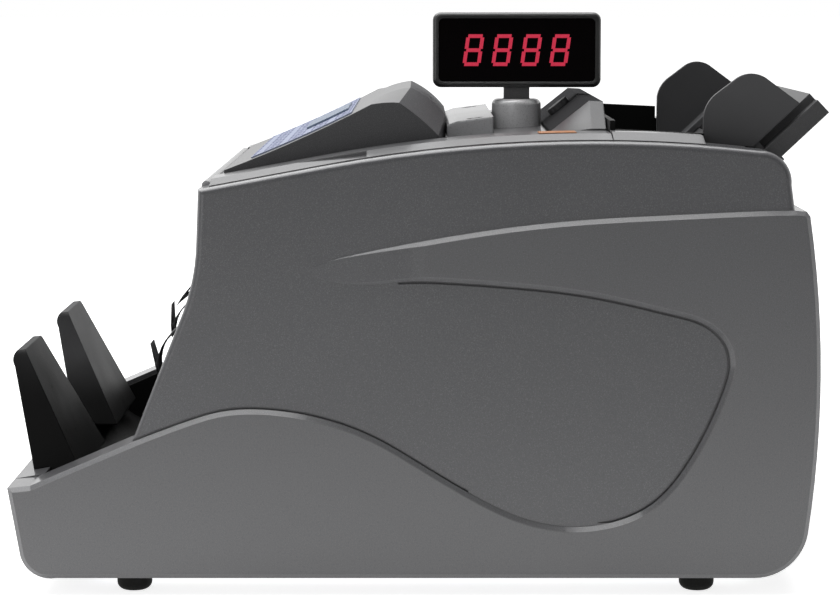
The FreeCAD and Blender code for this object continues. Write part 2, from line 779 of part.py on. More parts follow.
def stacker_wheel(first_tip_deg):
    """Hub with curved blades, thin at the tip, that catch the notes."""
    x0, x1 = wheel_x - wheel_half, wheel_x + wheel_half
    root_r = hub_r - 0.6
    root_turn = math.degrees(vane_thick / root_r)
    blades = [rod(wheel_y, wheel_z, hub_r, x0, x1)]
    for i in range(vane_count):
        tip_deg = first_tip_deg + 360.0 * i / vane_count

        def at(r, turn_deg):
            a = math.radians(tip_deg + turn_deg)
            return (wheel_y + r * math.cos(a), wheel_z + r * math.sin(a))

        blades.append(slab(outline(
            at(root_r, vane_sweep_deg), (at(vane_bulge_r, vane_bulge_deg), at(wheel_r, 0)),
            at(wheel_r - vane_tip_thick, 0),
            (at(vane_bulge_r - vane_thick, vane_bulge_deg), at(root_r, vane_sweep_deg - root_turn))), x0, x1))
    return fused(blades).cut(rod(wheel_y, wheel_z, shaft_r, x0 - 1, x1 + 1))


# ---- hopper ----------------------------------------------------------------------------------

def hopper_liner():
    """Black chute: side walls, front wall and floor with openings for the pickup rollers."""
    outer = liner_half_x
    t = lining_thick
    back = on_slope(plate_low_s, plate_skin_t - fit)
    crest = on_slope(14.0, plate_skin_t - fit)
    walls = []
    for x, rise in ((outer - t, rail_height + 0.4), (-outer, liner_left_rise)):
        walls.append(slab(outline(
            (hopper_front_y + fit, liner_floor_z), (hopper_front_y + fit, rim_z(hopper_front_y) + rise),
            (guide_front[0] - fit, rim_z(guide_front[0]) + rise), (guide_front[0] - fit, rim_z(guide_front[0])),
            (crest[0] - 1, rim_z(crest[0]) + fit), crest, back, (back[0] - 1.5, liner_floor_z - 1)), x, x + t))
    front = box(-outer, outer, hopper_front_y + fit, hopper_front_y + fit + t, liner_floor_z + 3, ramp_rear[1] - 6)
    floor = box(-outer, outer, hopper_front_y + fit, back[0] - 1.8, liner_floor_z - t, liner_floor_z)
    reach = pickup_width / 2 + 2 * roller_gap
    slots = [box(x - reach, x + reach, pickup_y - pickup_r + 3, pickup_y + pickup_r - 4,
                 liner_floor_z - t - 1, liner_floor_z + 1) for x in pickup_x]
    reach = feed_width / 2 + 2 * roller_gap
    slots += [rod(feed_y, feed_z, feed_r + roller_gap, x - reach, x + reach) for x in feed_x]
    slots.append(rod(feed_y, feed_z, feed_core_r + 4 * roller_gap, min(feed_x) - 38, max(feed_x) + 38))
    return fused(walls + [front, floor]).cut(Part.makeCompound(slots))


def hopper_back_plate():
    """Inclined tray behind the notes: skin, rim and ribs, with slots for the note guides."""
    skin = slope_slab(plate_low_s, plate_high_s, plate_skin_t, plate_tray_t, -plate_skin_half_x, plate_skin_half_x)
    tray = slope_slab(plate_low_s, plate_high_s, plate_tray_t, plate_back_t, -plate_half_x, plate_half_x)
    pocket = slope_slab(plate_low_s + 2, plate_high_s - 2, plate_tray_t + 1.6, plate_back_t + 1,
                        2 - plate_half_x, plate_half_x - 2)
    body = skin.fuse(tray.cut(pocket))
    pitch = 2 * (plate_half_x - 8) / (rib_count - 1)
    ribs = []
    for i in range(rib_count):
        x = -plate_half_x + 8 + i * pitch
        ribs.append(slope_slab(plate_low_s + 2, plate_high_s - 2, plate_tray_t + 1, plate_back_t - 1.2,
                               x - rib_thick / 2, x + rib_thick / 2))
    slots = []
    slot_inner_x = guide_x - guide_foot_x + 2 - guide_travel - 2 * fit
    for side in (-1, 1):
        x0, x1 = sorted((side * slot_inner_x, side * (guide_x + guide_thick + 1.2)))
        slots.append(slope_slab(slot_s - slot_width / 2, slot_s + slot_width / 2, plate_skin_t - 1,
                                plate_back_t + 1, x0, x1))
    return fused([body] + ribs).cut(Part.makeCompound(slots))


def note_guide():
    """Fin that squares the notes' edge, on a foot that slides along the back plate."""
    t1 = plate_skin_t - guide_gap
    rest = on_slope(guide_top_s, t1)
    low = on_slope(guide_low_s, t1)
    side = outline(guide_bottom, guide_front, (guide_brow_via, guide_brow), guide_shoulder,
                   (guide_peak_via, guide_peak), rest, low)
    fin = slab(side, guide_x, guide_x + guide_thick)
    foot = slope_slab(2.0, guide_top_s - 4, t1 - 2.4, t1, guide_x - guide_foot_x, guide_x + 1)
    peg = slope_slab(slot_s - slot_width / 2 + running * 2, slot_s + slot_width / 2 - running * 2, t1 - 0.5,
                     plate_back_t + guide_gap, guide_x - guide_foot_x + 2, guide_x + guide_thick - 0.4)
    clip = slope_slab(slot_s - slot_width, slot_s + slot_width, plate_back_t + guide_gap,
                      plate_back_t + guide_gap + 1.6, guide_x - guide_foot_x + 1, guide_x + guide_thick - 0.2)
    return fused([fin, foot, peg, clip])


# ---- display ---------------------------------------------------------------------------------

def display_turntable():
    """Drum in the deck, retained from below, with a pocket for the tilting neck."""
    deck_z = rim_z(swivel_y)
    body = post(0, swivel_y, swivel_r, deck_z - 2 * wall, block_top_z)
    body = body.makeFillet(2.4, [e for e in body.Edges if e.CenterOfMass.z > block_top_z - 0.1])
    collar_top = rim_z(swivel_y - swivel_r - collar_width) - wall - fit
    collar = post(0, swivel_y, swivel_r + collar_width, collar_top - wall, collar_top)
    gap = box(-pocket_half_x, pocket_half_x, swivel_y - neck_half_y - fit, swivel_y + neck_half_y + fit,
              tilt_z - knuckle_r - fit, block_top_z + 1)
    pin_hole = Part.makeCylinder(pin_r + running, 2 * pin_half_y + fit, Vec(0, swivel_y - pin_half_y - fit / 2, tilt_z),
                                 Vec(0, 1, 0))
    return body.fuse(collar).removeSplitter().cut(gap).cut(pin_hole)


def display_neck():
    """Flat neck with a round knuckle and its pin."""
    knuckle = Part.makeCylinder(knuckle_r, 2 * neck_half_y, Vec(0, swivel_y - neck_half_y, tilt_z), Vec(0, 1, 0))
    pin = Part.makeCylinder(pin_r, 2 * pin_half_y, Vec(0, swivel_y - pin_half_y, tilt_z), Vec(0, 1, 0))
    stem = box(-3.2, 3.2, swivel_y - neck_half_y, swivel_y + neck_half_y, tilt_z, case_low_z)
    return fused([knuckle, pin, stem])


def rounded_panel(x0, x1, y0, y1, z0, z1, r):
    body = box(x0, x1, y0, y1, z0, z1)
    return body.makeFillet(r, [e for e in body.Edges if e.BoundBox.XLength > abs(x1 - x0) - 0.01])


def display_case():
    y0, y1 = case_y - case_half_y, case_y + case_half_y
    body = rounded_panel(case_back_x, case_front_x, y0, y1, case_low_z, case_high_z, case_corner)
    body = body.makeFillet(1.2, flat_edges(body, case_back_x))
    body = body.makeFillet(case_round, flat_edges(body, case_front_x))
    m = window_margin
    opening = rounded_panel(case_front_x - window_thick, case_front_x + 1, y0 + m, y1 - m, case_low_z + m,
                            case_high_z - m, case_corner - 1.4)
    inside = box(case_back_x + 2, case_front_x - window_thick - 1.2, y0 + 2.4, y1 - 2.4, case_low_z + 2.4,
                 case_high_z - 2.4)
    return body.cut(opening).cut(inside)


def display_window():
    m = window_margin + 0.1
    y0, y1 = case_y - case_half_y, case_y + case_half_y
    body = rounded_panel(case_front_x - window_thick, case_front_x - 0.4, y0 + m, y1 - m, case_low_z + m,
                         case_high_z - m, case_corner - 1.5)
    return body


def seven_segments(x, y, z, w, h, stroke, depth):
    """Figure eight of seven bars, slanted, standing on z with its centre at y."""
    bars = []
    gap = 0.25
    half = w / 2
    mid = h / 2
    for level in (0, mid, h):
        z0 = min(max(level - stroke / 2, 0), h - stroke)
        bars.append((y - half + stroke * 0.5, y + half - stroke * 0.5, z0, z0 + stroke))
    for side in (-1, 1):
        y0 = y - half if side < 0 else y + half - stroke
        for low, high in ((stroke / 2 + gap, mid - gap), (mid + gap, h - stroke / 2 - gap)):
            bars.append((y0, y0 + stroke, low + 0.3, high - 0.3))
    lean = math.tan(math.radians(digit_slant_deg))
    solids = []
    for y0, y1, z0, z1 in bars:
        ring = [Vec(x, y0 + lean * z0, z + z0), Vec(x, y1 + lean * z0, z + z0),
                Vec(x, y1 + lean * z1, z + z1), Vec(x, y0 + lean * z1, z + z1)]
        face = Part.Face(Part.makePolygon(ring + [ring[0]]))
        solids.append(face.extrude(Vec(depth, 0, 0)))
    return solids


def display_digits():
    solids = []
    for i in range(4):
        y = case_y - case_half_y + digit_first + i * digit_pitch
        solids += seven_segments(case_front_x - 0.4, y, case_low_z + digit_rise, digit_width, digit_height, digit_stroke,
                                 digit_depth - 0.1)
    return Part.makeCompound(solids)


# ---- inner works -------------------------------------------------------------------------------

shafts = {
    "impeller": (wheel_y, wheel_z), "transport": (transport_y, transport_z),
    "feed": (feed_y, feed_z), "pickup": (pickup_y, pickup_z),
}


def inner_frame():
    """Steel side frame with bearing holes and lightening cut-outs."""
    pan_top = foot_height + pan_thick
    plate = slab(outline(
        (frame_front_y, pan_top), (frame_rear_y - 8, pan_top), (frame_rear_y, 34.0), (frame_rear_y, 112.0),
        (112.0, frame_step_z), (64.0, frame_step_z), (61.0, 162.5), (0.0, 158.0), (-58.0, 146.0), (-66.0, 117.0),
        (-82.8, 80.0), (-85.4, 70.0), (-88.0, 62.0)),
        frame_x, frame_x + frame_thick)
    holes = [rod(y, z, bearing_r, frame_x - 1, frame_x + 4) for y, z in shafts.values()]
    holes.append(rod(motor_y, motor_z, 7.0, frame_x - 1, frame_x + 4))
    windows = [rod(y, z, r, frame_x - 1, frame_x + 4) for y, z, r in (
        (-30.0, 70.0, 16.0), (10.0, 60.0, 20.0), (104.0, 78.0, 14.0), (-20.0, 122.0, 10.0))]
    screw_holes = [rod(y, z, screw_r, frame_x - 1, frame_x + 4) for y, z in boss_places]
    flange = box(frame_x - 10, frame_x, frame_front_y, frame_rear_y - 8, pan_top, pan_top + frame_thick)
    return fused([plate, flange]).cut(Part.makeCompound(holes + windows + screw_holes))


def bearings():
    """Flanged bushes in both side frames for every shaft."""
    rings = []
    for y, z in shafts.values():
        for s in (-1, 1):
            x0, x1 = sorted((s * (frame_x - 1.0), s * (frame_x + frame_thick + 0.4)))
            ring = rod(y, z, bearing_r, x0, x1)
            f0, f1 = sorted((s * (frame_x - bearing_flange), s * frame_x))
            ring = ring.fuse(rod(y, z, bearing_r + 2, f0, f1)).cut(rod(y, z, shaft_r + running, -half_width, half_width))
            rings.append(ring)
    return Part.makeCompound(rings)


def tie_rods():
    rods = [rod(y, z, 3.0, -frame_x, frame_x) for y, z in tie_places]
    return Part.makeCompound(rods)


def shaft(y, z, x0, x1):
    body = rod(y, z, shaft_r, x0, x1)
    return body


def pulley(y, z, r, layer):
    """Belt pulley with two rims in one belt layer on the left side."""
    x1 = -(layer_start + layer * layer_pitch)
    x0 = x1 - belt_width - 0.6
    body = rod(y, z, r, x0, x1)
    rims = [rod(y, z, r + pulley_rim, x0 - 0.1, x0 + 0.2), rod(y, z, r + pulley_rim, x1 - 0.2, x1 + 0.1)]
    return fused([body] + rims).cut(rod(y, z, shaft_r, x0 - 1, x1 + 1))


def roller(y, z, r, centres, width, core_r):
    """Rubber tyres on a common core, bored for the shaft."""
    parts = [rod(y, z, core_r, min(centres) - width, max(centres) + width)]
    parts += [rod(y, z, r, c - width / 2, c + width / 2) for c in centres]
    return fused(parts).cut(rod(y, z, shaft_r, -half_width, half_width))


def belt(a, b, ra, rb, layer):
    """Flat belt round two pulleys, just clear of them."""
    x1 = -(layer_start + layer * layer_pitch) - 0.5
    x0 = x1 - belt_width + 0.4
    gap = 0.15

    def loop(extra):
        r0, r1 = ra + extra, rb + extra
        dy, dz = b[0] - a[0], b[1] - a[1]
        length = math.hypot(dy, dz)
        base = math.atan2(dz, dy)
        lean = math.acos((r0 - r1) / length)
        up = [(c[0] + r * math.cos(base + lean), c[1] + r * math.sin(base + lean)) for c, r in ((a, r0), (b, r1))]
        down = [(c[0] + r * math.cos(base - lean), c[1] + r * math.sin(base - lean)) for c, r in ((a, r0), (b, r1))]
        far = (b[0] + r1 * math.cos(base), b[1] + r1 * math.sin(base))
        near = (a[0] - r0 * math.cos(base), a[1] - r0 * math.sin(base))
        return slab(outline(up[0], up[1], (far, down[1]), down[0], (near, up[0])), x0, x1)

    return loop(gap + belt_thick).cut(loop(gap))


def guide_plates():
    """Upper and lower note channel between the feed roller and the stacker wheels."""
    upper = slab(outline((50.0, 146.0), (20.0, 134.5), (-40.0, 122.0), (-66.0, 114.5), (-66.0, 115.9),
                         (-40.0, 123.4), (20.0, 135.9), (50.0, 147.4)), -frame_x, frame_x)
    lower = slab(outline((2.0, 126.5), (-40.0, 117.0), (-58.0, 111.5), (-58.0, 110.1), (-40.0, 115.6),
                         (2.0, 125.1)), -frame_x, frame_x)
    notches = Part.makeCompound(wheel_slots())
    return upper.cut(notches), lower.cut(notches)


def retard_bracket():
    """Fixed bracket under the feed cover that holds the retard pads against the feed roller."""
    pad_z = feed_z + feed_r + fit
    bar = box(-frame_x, frame_x, 54.0, 58.0, pad_z + 1.6, pad_z + 10)
    arms = [box(x - 4, x + 4, 56.0, hopper_front_y - fit, pad_z + 1.6, pad_z + 4.4) for x in feed_x]
    pads = [box(x - 6, x + 6, 66.0, hopper_front_y - fit, pad_z, pad_z + 1.6) for x in feed_x]
    return fused([bar] + arms + pads)


def main_motor():
    body = rod(motor_y, motor_z, motor_r, -frame_x, -frame_x + motor_length)
    step = rod(motor_y, motor_z, motor_r - 7, -frame_x + motor_length, -frame_x + motor_length + 6)
    fins = [rod(motor_y, motor_z, motor_r + 0.8, -frame_x + 12 + 8 * i, -frame_x + 14 + 8 * i) for i in range(5)]
    bore = rod(motor_y, motor_z, motor_shaft_r + running, -frame_x - 1, -frame_x + motor_length - 10)
    return fused([body, step] + fins).cut(bore)


def transformer():
    """Laminated core with two windows and its coil."""
    x0, y0 = transformer_corner
    z0 = foot_height + pan_thick
    size, depth, leg = transformer_size, transformer_depth, transformer_leg
    window = size / 2 - leg * 1.5
    core = box(x0, x0 + size, y0, y0 + depth, z0, z0 + size)
    coil = box(x0 + leg + running, x0 + size - leg - running, y0 - 6, y0 + depth + 6, z0 + leg + running,
               z0 + size - leg - running)
    for x in (x0 + leg, x0 + size - leg - window):
        core = core.cut(box(x, x + window, y0 - 1, y0 + depth + 1, z0 + leg, z0 + size - leg))
    coil = coil.cut(box(x0 + leg + window, x0 + size - leg - window, y0, y0 + depth, z0 + leg - 1, z0 + size - leg + 1))
    return fused([core, coil])


def main_board():
    """Circuit board on four pillars of the bottom plate, with its larger parts."""
    z0 = foot_height + pan_thick
    low, high = z0 + board_rise, z0 + board_rise + board_thick
    x0, x1 = board_x
    y0, y1 = board_y
    plate = box(x0, x1, y0, y1, low, high)
    pillars = [post(x, y, 3.0, z0, low) for x in (x0 + 4, x1 - 4) for y in (y0 + 4, y1 - 4)]
    chips = [box(x0 + 10, x0 + 30, y0 + 10, y0 + 24, high, high + 2.4),
             box(x1 - 20, x1 - 6, y0 + 30, y0 + 58, high, high + 8.4),
             box(x0 + 8, x0 + 16, y0 + 40, y0 + 70, high, high + 9.4)]
    cans = [post(x1 - 32, y0 + 40 + 12 * i, 4.0, high, high + 14.4) for i in range(3)]
    return fused([plate] + pillars + chips + cans)


# ---- rear --------------------------------------------------------------------------------------

def rear_cover():
    """Rear wall with vents, a hand grip and a flat recess for the connectors."""
    x = cover_x
    t = wall
    upper = (shoulder_low[0] + 0.4, shoulder_low[1] - 3)
    wall_wire = outline(
        heel, (heel_via, rear_low), (rear_via, rear_top), ledge_edge, ledge, upper, (upper[0] - t, upper[1]),
        (ledge[0] - t, ledge[1] - 2.4), (ledge_edge[0] - 1.6, ledge_edge[1] - t),
        (rear_top[0] - t, rear_top[1] - 1), ((rear_via[0] - t, rear_via[1]), (rear_low[0] - t, rear_low[1] + 1)),
        ((heel_via[0] - t * 0.7, heel_via[1] + t * 0.7), (heel[0], heel[1] + t)))
    body = slab(wall_wire, -x, x)
    y0, y1 = recess_y - 8.4, rear_via[0] + 5.2
    opening = box(recess_x[0], recess_x[1], y0, y1, recess_z[0], recess_z[1])
    body = body.cut(opening)
    frame = box(recess_x[0] - 2, recess_x[1] + 2, recess_y - 2.4, rear_low[0] + 0.6, recess_z[0] - 2, recess_z[1] + 2)
    frame = frame.cut(box(recess_x[0], recess_x[1], recess_y, y1, recess_z[0], recess_z[1]))
    cuts = []
    for i in range(vent_count):
        z = vent_low_z + i * vent_pitch
        cuts.append(box(vent_x[0], vent_x[1], y0 - 4, y1, z, z + vent_height))
    cuts.append(box(-grip_half[0], grip_half[0], y0 - 4, y1, grip_z - grip_half[1], grip_z + grip_half[1]))
    shelf = box(-liner_half_x, liner_half_x, slope_y, ledge[0] - t / 2, ledge[1] - 1.5, ledge[1] + 0.5)
    shelf = shelf.cut(slope_slab(-slope_y, slope_y, -slope_y, plate_back_t + seat_gap, -half_width, half_width))
    grip = box(-grip_half[0] - 2, grip_half[0] + 2, grip_y, rear_via[0] - 1.0,
               grip_z - grip_half[1] - 2, grip_z + grip_half[1] + 2)
    grip = grip.cut(box(-grip_half[0], grip_half[0], grip_y + 2, y1, grip_z - grip_half[1], grip_z + grip_half[1]))
    holes = [box(inlet_x - inlet_half[0] - seat_gap, inlet_x + inlet_half[0] + seat_gap, y0, y1,
                 socket_z - inlet_half[1] - seat_gap, socket_z + inlet_half[1] + seat_gap),
             box(switch_x - switch_half[0] - seat_gap, switch_x + switch_half[0] + seat_gap, y0, y1,
                 socket_z - switch_half[1] - seat_gap, socket_z + switch_half[1] + seat_gap),
             Part.makeCylinder(fuse_r + running, y1 - y0, Vec(fuse_x, y0, socket_z + fuse_rise), Vec(0, 1, 0)),
             Part.makeCylinder(jack_r + running, y1 - y0, Vec(fuse_x, y0, socket_z - jack_drop), Vec(0, 1, 0))]
    body = body.cut(Part.makeCompound(cuts))
    return fused([body, frame, grip, shelf]).cut(Part.makeCompound(holes))


def power_inlet():
    """Three-pin appliance inlet in its cut-out."""
    half_x, half_z = inlet_half
    flange = box(inlet_x - half_x - 2, inlet_x + half_x + 2, recess_y, recess_y + bezel,
                 socket_z - half_z - 2, socket_z + half_z + 2)
    flange = flange.makeFillet(2.0, [e for e in flange.Edges if abs(e.BoundBox.YLength - bezel) < 1e-3])
    barrel = box(inlet_x - half_x, inlet_x + half_x, recess_y - inlet_depth, recess_y,
                 socket_z - half_z, socket_z + half_z)
    cavity = box(inlet_x - half_x + inlet_wall, inlet_x + half_x - inlet_wall, recess_y - inlet_depth + 5, recess_y + 3,
                 socket_z - half_z + inlet_wall + 0.5, socket_z + half_z - inlet_wall - 0.5)
    cavity = cavity.makeChamfer(3.4, [e for e in cavity.Edges if e.BoundBox.YLength > 10
                                      and e.CenterOfMass.z > socket_z])
    body = flange.fuse(barrel).removeSplitter().cut(cavity)
    pins = [box(inlet_x + dx - 1, inlet_x + dx + 1, recess_y - inlet_depth + 4, recess_y - 3, socket_z + dz - 2.4,
                socket_z + dz + 2.4) for dx, dz in inlet_pins]
    return fused([body] + pins)


def switch_frame():
    """Bezel and sleeve of the power switch, with bores for the rocker's pin."""
    half_x, half_z = switch_half
    outer = box(switch_x - half_x - bezel, switch_x + half_x + bezel, recess_y, recess_y + bezel,
                socket_z - half_z - bezel, socket_z + half_z + bezel)
    sleeve = box(switch_x - half_x, switch_x + half_x, recess_y - 14, recess_y, socket_z - half_z, socket_z + half_z)
    inside = box(switch_x - half_x + 1, switch_x + half_x - 1, recess_y - 12, recess_y + 3,
                 socket_z - half_z + 1, socket_z + half_z - 1)
    bore = rod(recess_y - rocker_depth, socket_z, rocker_pin_r + running, switch_x - half_x, switch_x + half_x)
    return outer.fuse(sleeve).removeSplitter().cut(inside).cut(bore)


def rocker_switch():
    """Rocker with a dished face, tipped to one end on its pivot along x."""
    y, z = recess_y - rocker_depth, socket_z
    body = slab(outline(
        (y + 4.6, z + 7.6), (y + 3.4, z), (y + 4.6, z - 7.6), (y - 1.0, z - 6.4), (y - 3.5, z), (y - 1.0, z + 6.4)),
        switch_x - switch_half[0] + 1 + fit, switch_x + switch_half[0] - 1 - fit)
    body.rotate(Vec(switch_x, y, z), Vec(1, 0, 0), rocker_deg)
    half = switch_half[0] - fit
    return body.fuse(rod(y, z, rocker_pin_r, switch_x - half, switch_x + half)).removeSplitter()


def fuse_holder():
    z = socket_z + fuse_rise
    cap = Part.makeCylinder(fuse_r + 1.4, 3.0, Vec(fuse_x, recess_y, z), Vec(0, 1, 0))
    cap = cap.makeFillet(0.6, [e for e in cap.Edges if e.CenterOfMass.y > recess_y + 2.9])
    barrel = Part.makeCylinder(fuse_r, 22, Vec(fuse_x, recess_y - 22, z), Vec(0, 1, 0))
    slot = box(fuse_x - 4, fuse_x + 4, recess_y + 2, recess_y + 4, z - 0.6, z + 0.6)
    return cap.fuse(barrel).removeSplitter().cut(slot)


def display_socket():
    z = socket_z - jack_drop
    ring = Part.makeCylinder(jack_r + 1.4, bezel, Vec(fuse_x, recess_y, z), Vec(0, 1, 0))
    barrel = Part.makeCylinder(jack_r, 14, Vec(fuse_x, recess_y - 14, z), Vec(0, 1, 0))
    bore = Part.makeCylinder(1.8, 12, Vec(fuse_x, recess_y - 10, z), Vec(0, 1, 0))
    return ring.fuse(barrel).removeSplitter().cut(bore)


def rubber_feet():
    """Four feet: rounded rubber with a pin up into the bottom flange."""
    feet = []
    for x in (-foot_x, foot_x):
        for y in (front_foot_y, rear_foot_y):
            foot = post(x, y, foot_r, 0, foot_height)
            foot = foot.makeFillet(foot_round, [e for e in foot.Edges if e.CenterOfMass.z < 0.1 and e.Length > 20])
            feet.append(foot)
    return Part.makeCompound(feet)


def gap_knob():
    """Knurled thumb wheel that sets the feed gap, on the slope of the feed cover."""
    run = (ramp_top[0] - ramp_foot_y, ramp_top[1] - ramp_foot_z)
    length = math.hypot(*run)
    along = (run[0] / length, run[1] / length)
    normal = Vec(0, -along[1], along[0])
    seat = Vec(0, ramp_foot_y + run[0] * 0.5, ramp_foot_z + run[1] * 0.5)
    base = seat + normal * running
    disc = Part.makeCylinder(knob_r, knob_height, base, normal)
    notches = []
    for i in range(12):
        angle = math.radians(30 * i)
        side = Vec(1, 0, 0) * math.cos(angle) + Vec(0, along[0], along[1]) * math.sin(angle)
        notches.append(Part.makeCylinder(0.9, knob_height + 2, base + side * (knob_r + 0.3) - normal, normal))
    stem = Part.makeCylinder(2.0, 5, base - normal * 4, normal)
    return disc.cut(Part.makeCompound(notches)).fuse(stem), base, normal


# ---- writing -----------------------------------------------------------------------------------

def both_sides(name, shape):
    save(name + "_right", shape)
    save(name + "_left", mirrored(shape))


def write_housing():
    both_sides("side_panel", side_panel())
    apron = nose_apron()
    save("nose_apron", apron)
    save("base_pan", base_pan())
    save("front_panel", front_panel())
    save("top_cover", top_cover())
    save("console_housing", console_housing())
    save("keypad_membrane", console_surface_strip(membrane_from, membrane_to, membrane_half_x, film_gap, membrane_thick))
    save("console_window", console_surface_strip(window_from, window_to, window_half_x,
                                                 membrane_thick + film_gap, membrane_thick + window_rise))
    both_sides("shoulder_trim", stepped_trim())
    both_sides("hopper_rail", hopper_rail())
    both_sides("hopper_cheek", hopper_cheek())
    save("rear_cover", rear_cover())
    save("rubber_feet", rubber_feet())
    save("marker_strip", slab(rim_strip(marker_y[0], marker_y[1], trim_height + film_gap, trim_height + 0.3),
                              deck_edge_x + marker_inset, deck_edge_x + marker_inset + marker_width))
    return apron


def write_stacker(apron):
    lining = stacker_lining()
    save("stacker_lining", lining)
    both_sides("stop_fin", stop_fin().cut(apron).cut(lining))
    save("stacker_wheel_right", stacker_wheel(right_tip_deg))
    save("stacker_wheel_left", mirrored(stacker_wheel(left_tip_deg)))


def write_hopper():
    knob, base, normal = gap_knob()
    cover = feed_cover().cut(Part.makeCylinder(2.0 + running, 8, base - normal * 6, normal))
    save("feed_cover", cover)
    save("gap_knob", knob)
    print("knob axis", base, normal)
    save("hopper_liner", hopper_liner())
    save("hopper_back_plate", hopper_back_plate())
    both_sides("note_guide", note_guide())


def write_display():
    save("display_turntable", display_turntable())
    save("display_neck", display_neck())
    save("display_case", display_case())
    save("display_window", display_window())
    save("display_digits", display_digits())


def write_drive():
    both_sides("inner_frame", inner_frame())
    save("bearings", bearings())
    save("tie_rods", tie_rods())
    upper, lower = guide_plates()
    save("upper_guide_plate", upper)
    save("lower_guide_plate", lower)
    save("retard_bracket", retard_bracket())
    end = layer_start + 3 * layer_pitch
    reach = frame_x + frame_thick + 1.0
    feed, transport = (feed_y, feed_z), (transport_y, transport_z)
    impeller, pickup, motor = (wheel_y, wheel_z), (pickup_y, pickup_z), (motor_y, motor_z)
    save("impeller_shaft", fused([shaft(*impeller, -layer_start - layer_pitch, reach),
                                  pulley(*impeller, impeller_pulley_r, 0)]))
    save("transport_shaft", fused([shaft(*transport, -layer_start - 2 * layer_pitch, reach),
                                   pulley(*transport, link_pulley_r, 0), pulley(*transport, link_pulley_r, 1)]))
    save("transport_rollers", roller(*transport, transport_r, transport_x, transport_width, roller_core_r))
    save("feed_shaft", fused([shaft(*feed, -end - 1, reach), pulley(*feed, link_pulley_r, 1),
                              pulley(*feed, feed_pulley_r, 2), pulley(*feed, pickup_pulley_r, 0)]))
    save("feed_rollers", roller(*feed, feed_r, feed_x, feed_width, feed_core_r))
    save("pickup_shaft", fused([shaft(*pickup, -layer_start - layer_pitch, reach),
                                pulley(*pickup, pickup_pulley_r, 0)]))
    save("pickup_rollers", roller(*pickup, pickup_r, pickup_x, pickup_width, roller_core_r))
    motor_shaft = fused([rod(*motor, motor_shaft_r, -end - 1, -frame_x + motor_length - 12),
                         rod(*motor, motor_pulley_r, -layer_start - 3 * layer_pitch + 0.4, -layer_start - 2 * layer_pitch)])
    save("motor_shaft", motor_shaft)
    save("main_motor", main_motor())
    save("drive_belts", Part.makeCompound([
        belt(motor, feed, motor_pulley_r, feed_pulley_r, 2), belt(feed, transport, link_pulley_r, link_pulley_r, 1),
        belt(transport, impeller, link_pulley_r, impeller_pulley_r, 0),
        belt(feed, pickup, pickup_pulley_r, pickup_pulley_r, 0)]))
    save("transformer", transformer())
    save("main_board", main_board())


def write_rear():
    save("power_inlet", power_inlet())
    save("switch_frame", switch_frame())
    save("rocker_switch", rocker_switch())
    save("fuse_holder", fuse_holder())
    save("display_socket", display_socket())


write_stacker(write_housing())
write_hopper()
write_display()
write_drive()
write_rear()
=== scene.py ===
import bpy
import math
from mathutils import Matrix, Vector


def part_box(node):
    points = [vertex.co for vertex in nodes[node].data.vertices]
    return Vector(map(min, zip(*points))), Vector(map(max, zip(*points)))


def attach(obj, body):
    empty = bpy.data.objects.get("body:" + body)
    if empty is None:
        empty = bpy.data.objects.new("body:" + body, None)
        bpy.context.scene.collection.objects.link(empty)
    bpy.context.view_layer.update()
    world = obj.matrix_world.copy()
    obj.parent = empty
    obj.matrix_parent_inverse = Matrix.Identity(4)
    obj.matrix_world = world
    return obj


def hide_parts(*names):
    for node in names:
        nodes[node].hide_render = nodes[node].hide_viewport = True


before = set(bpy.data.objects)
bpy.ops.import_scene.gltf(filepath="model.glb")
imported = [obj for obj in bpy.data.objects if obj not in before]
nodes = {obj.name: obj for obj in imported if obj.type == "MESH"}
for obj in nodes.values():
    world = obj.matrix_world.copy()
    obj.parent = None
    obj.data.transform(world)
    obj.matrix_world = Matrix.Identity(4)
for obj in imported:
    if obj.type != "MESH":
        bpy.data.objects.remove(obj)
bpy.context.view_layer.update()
print("frame loaded:", len(nodes), "nodes")

# long lens at the operator's right, a little above the machine
camera = {"place": (1.031, 0.002, 0.2216), "lens": 106.0, "sensor": 36.0, "downDeg": 6.916, "headingDeg": 90.0}

camData = bpy.data.cameras.new("photoCamera")
camData.lens = camera["lens"]
camData.sensor_width = camera["sensor"]
camData.sensor_fit = "HORIZONTAL"
camObject = bpy.data.objects.new("photoCamera", camData)
bpy.context.scene.collection.objects.link(camObject)
camObject.location = camera["place"]
camObject.rotation_euler = (math.radians(90.0 - camera["downDeg"]), 0.0, math.radians(camera["headingDeg"]))
bpy.context.scene.camera = camObject
bpy.context.scene.view_settings.view_transform = "Standard"
print("camera set")


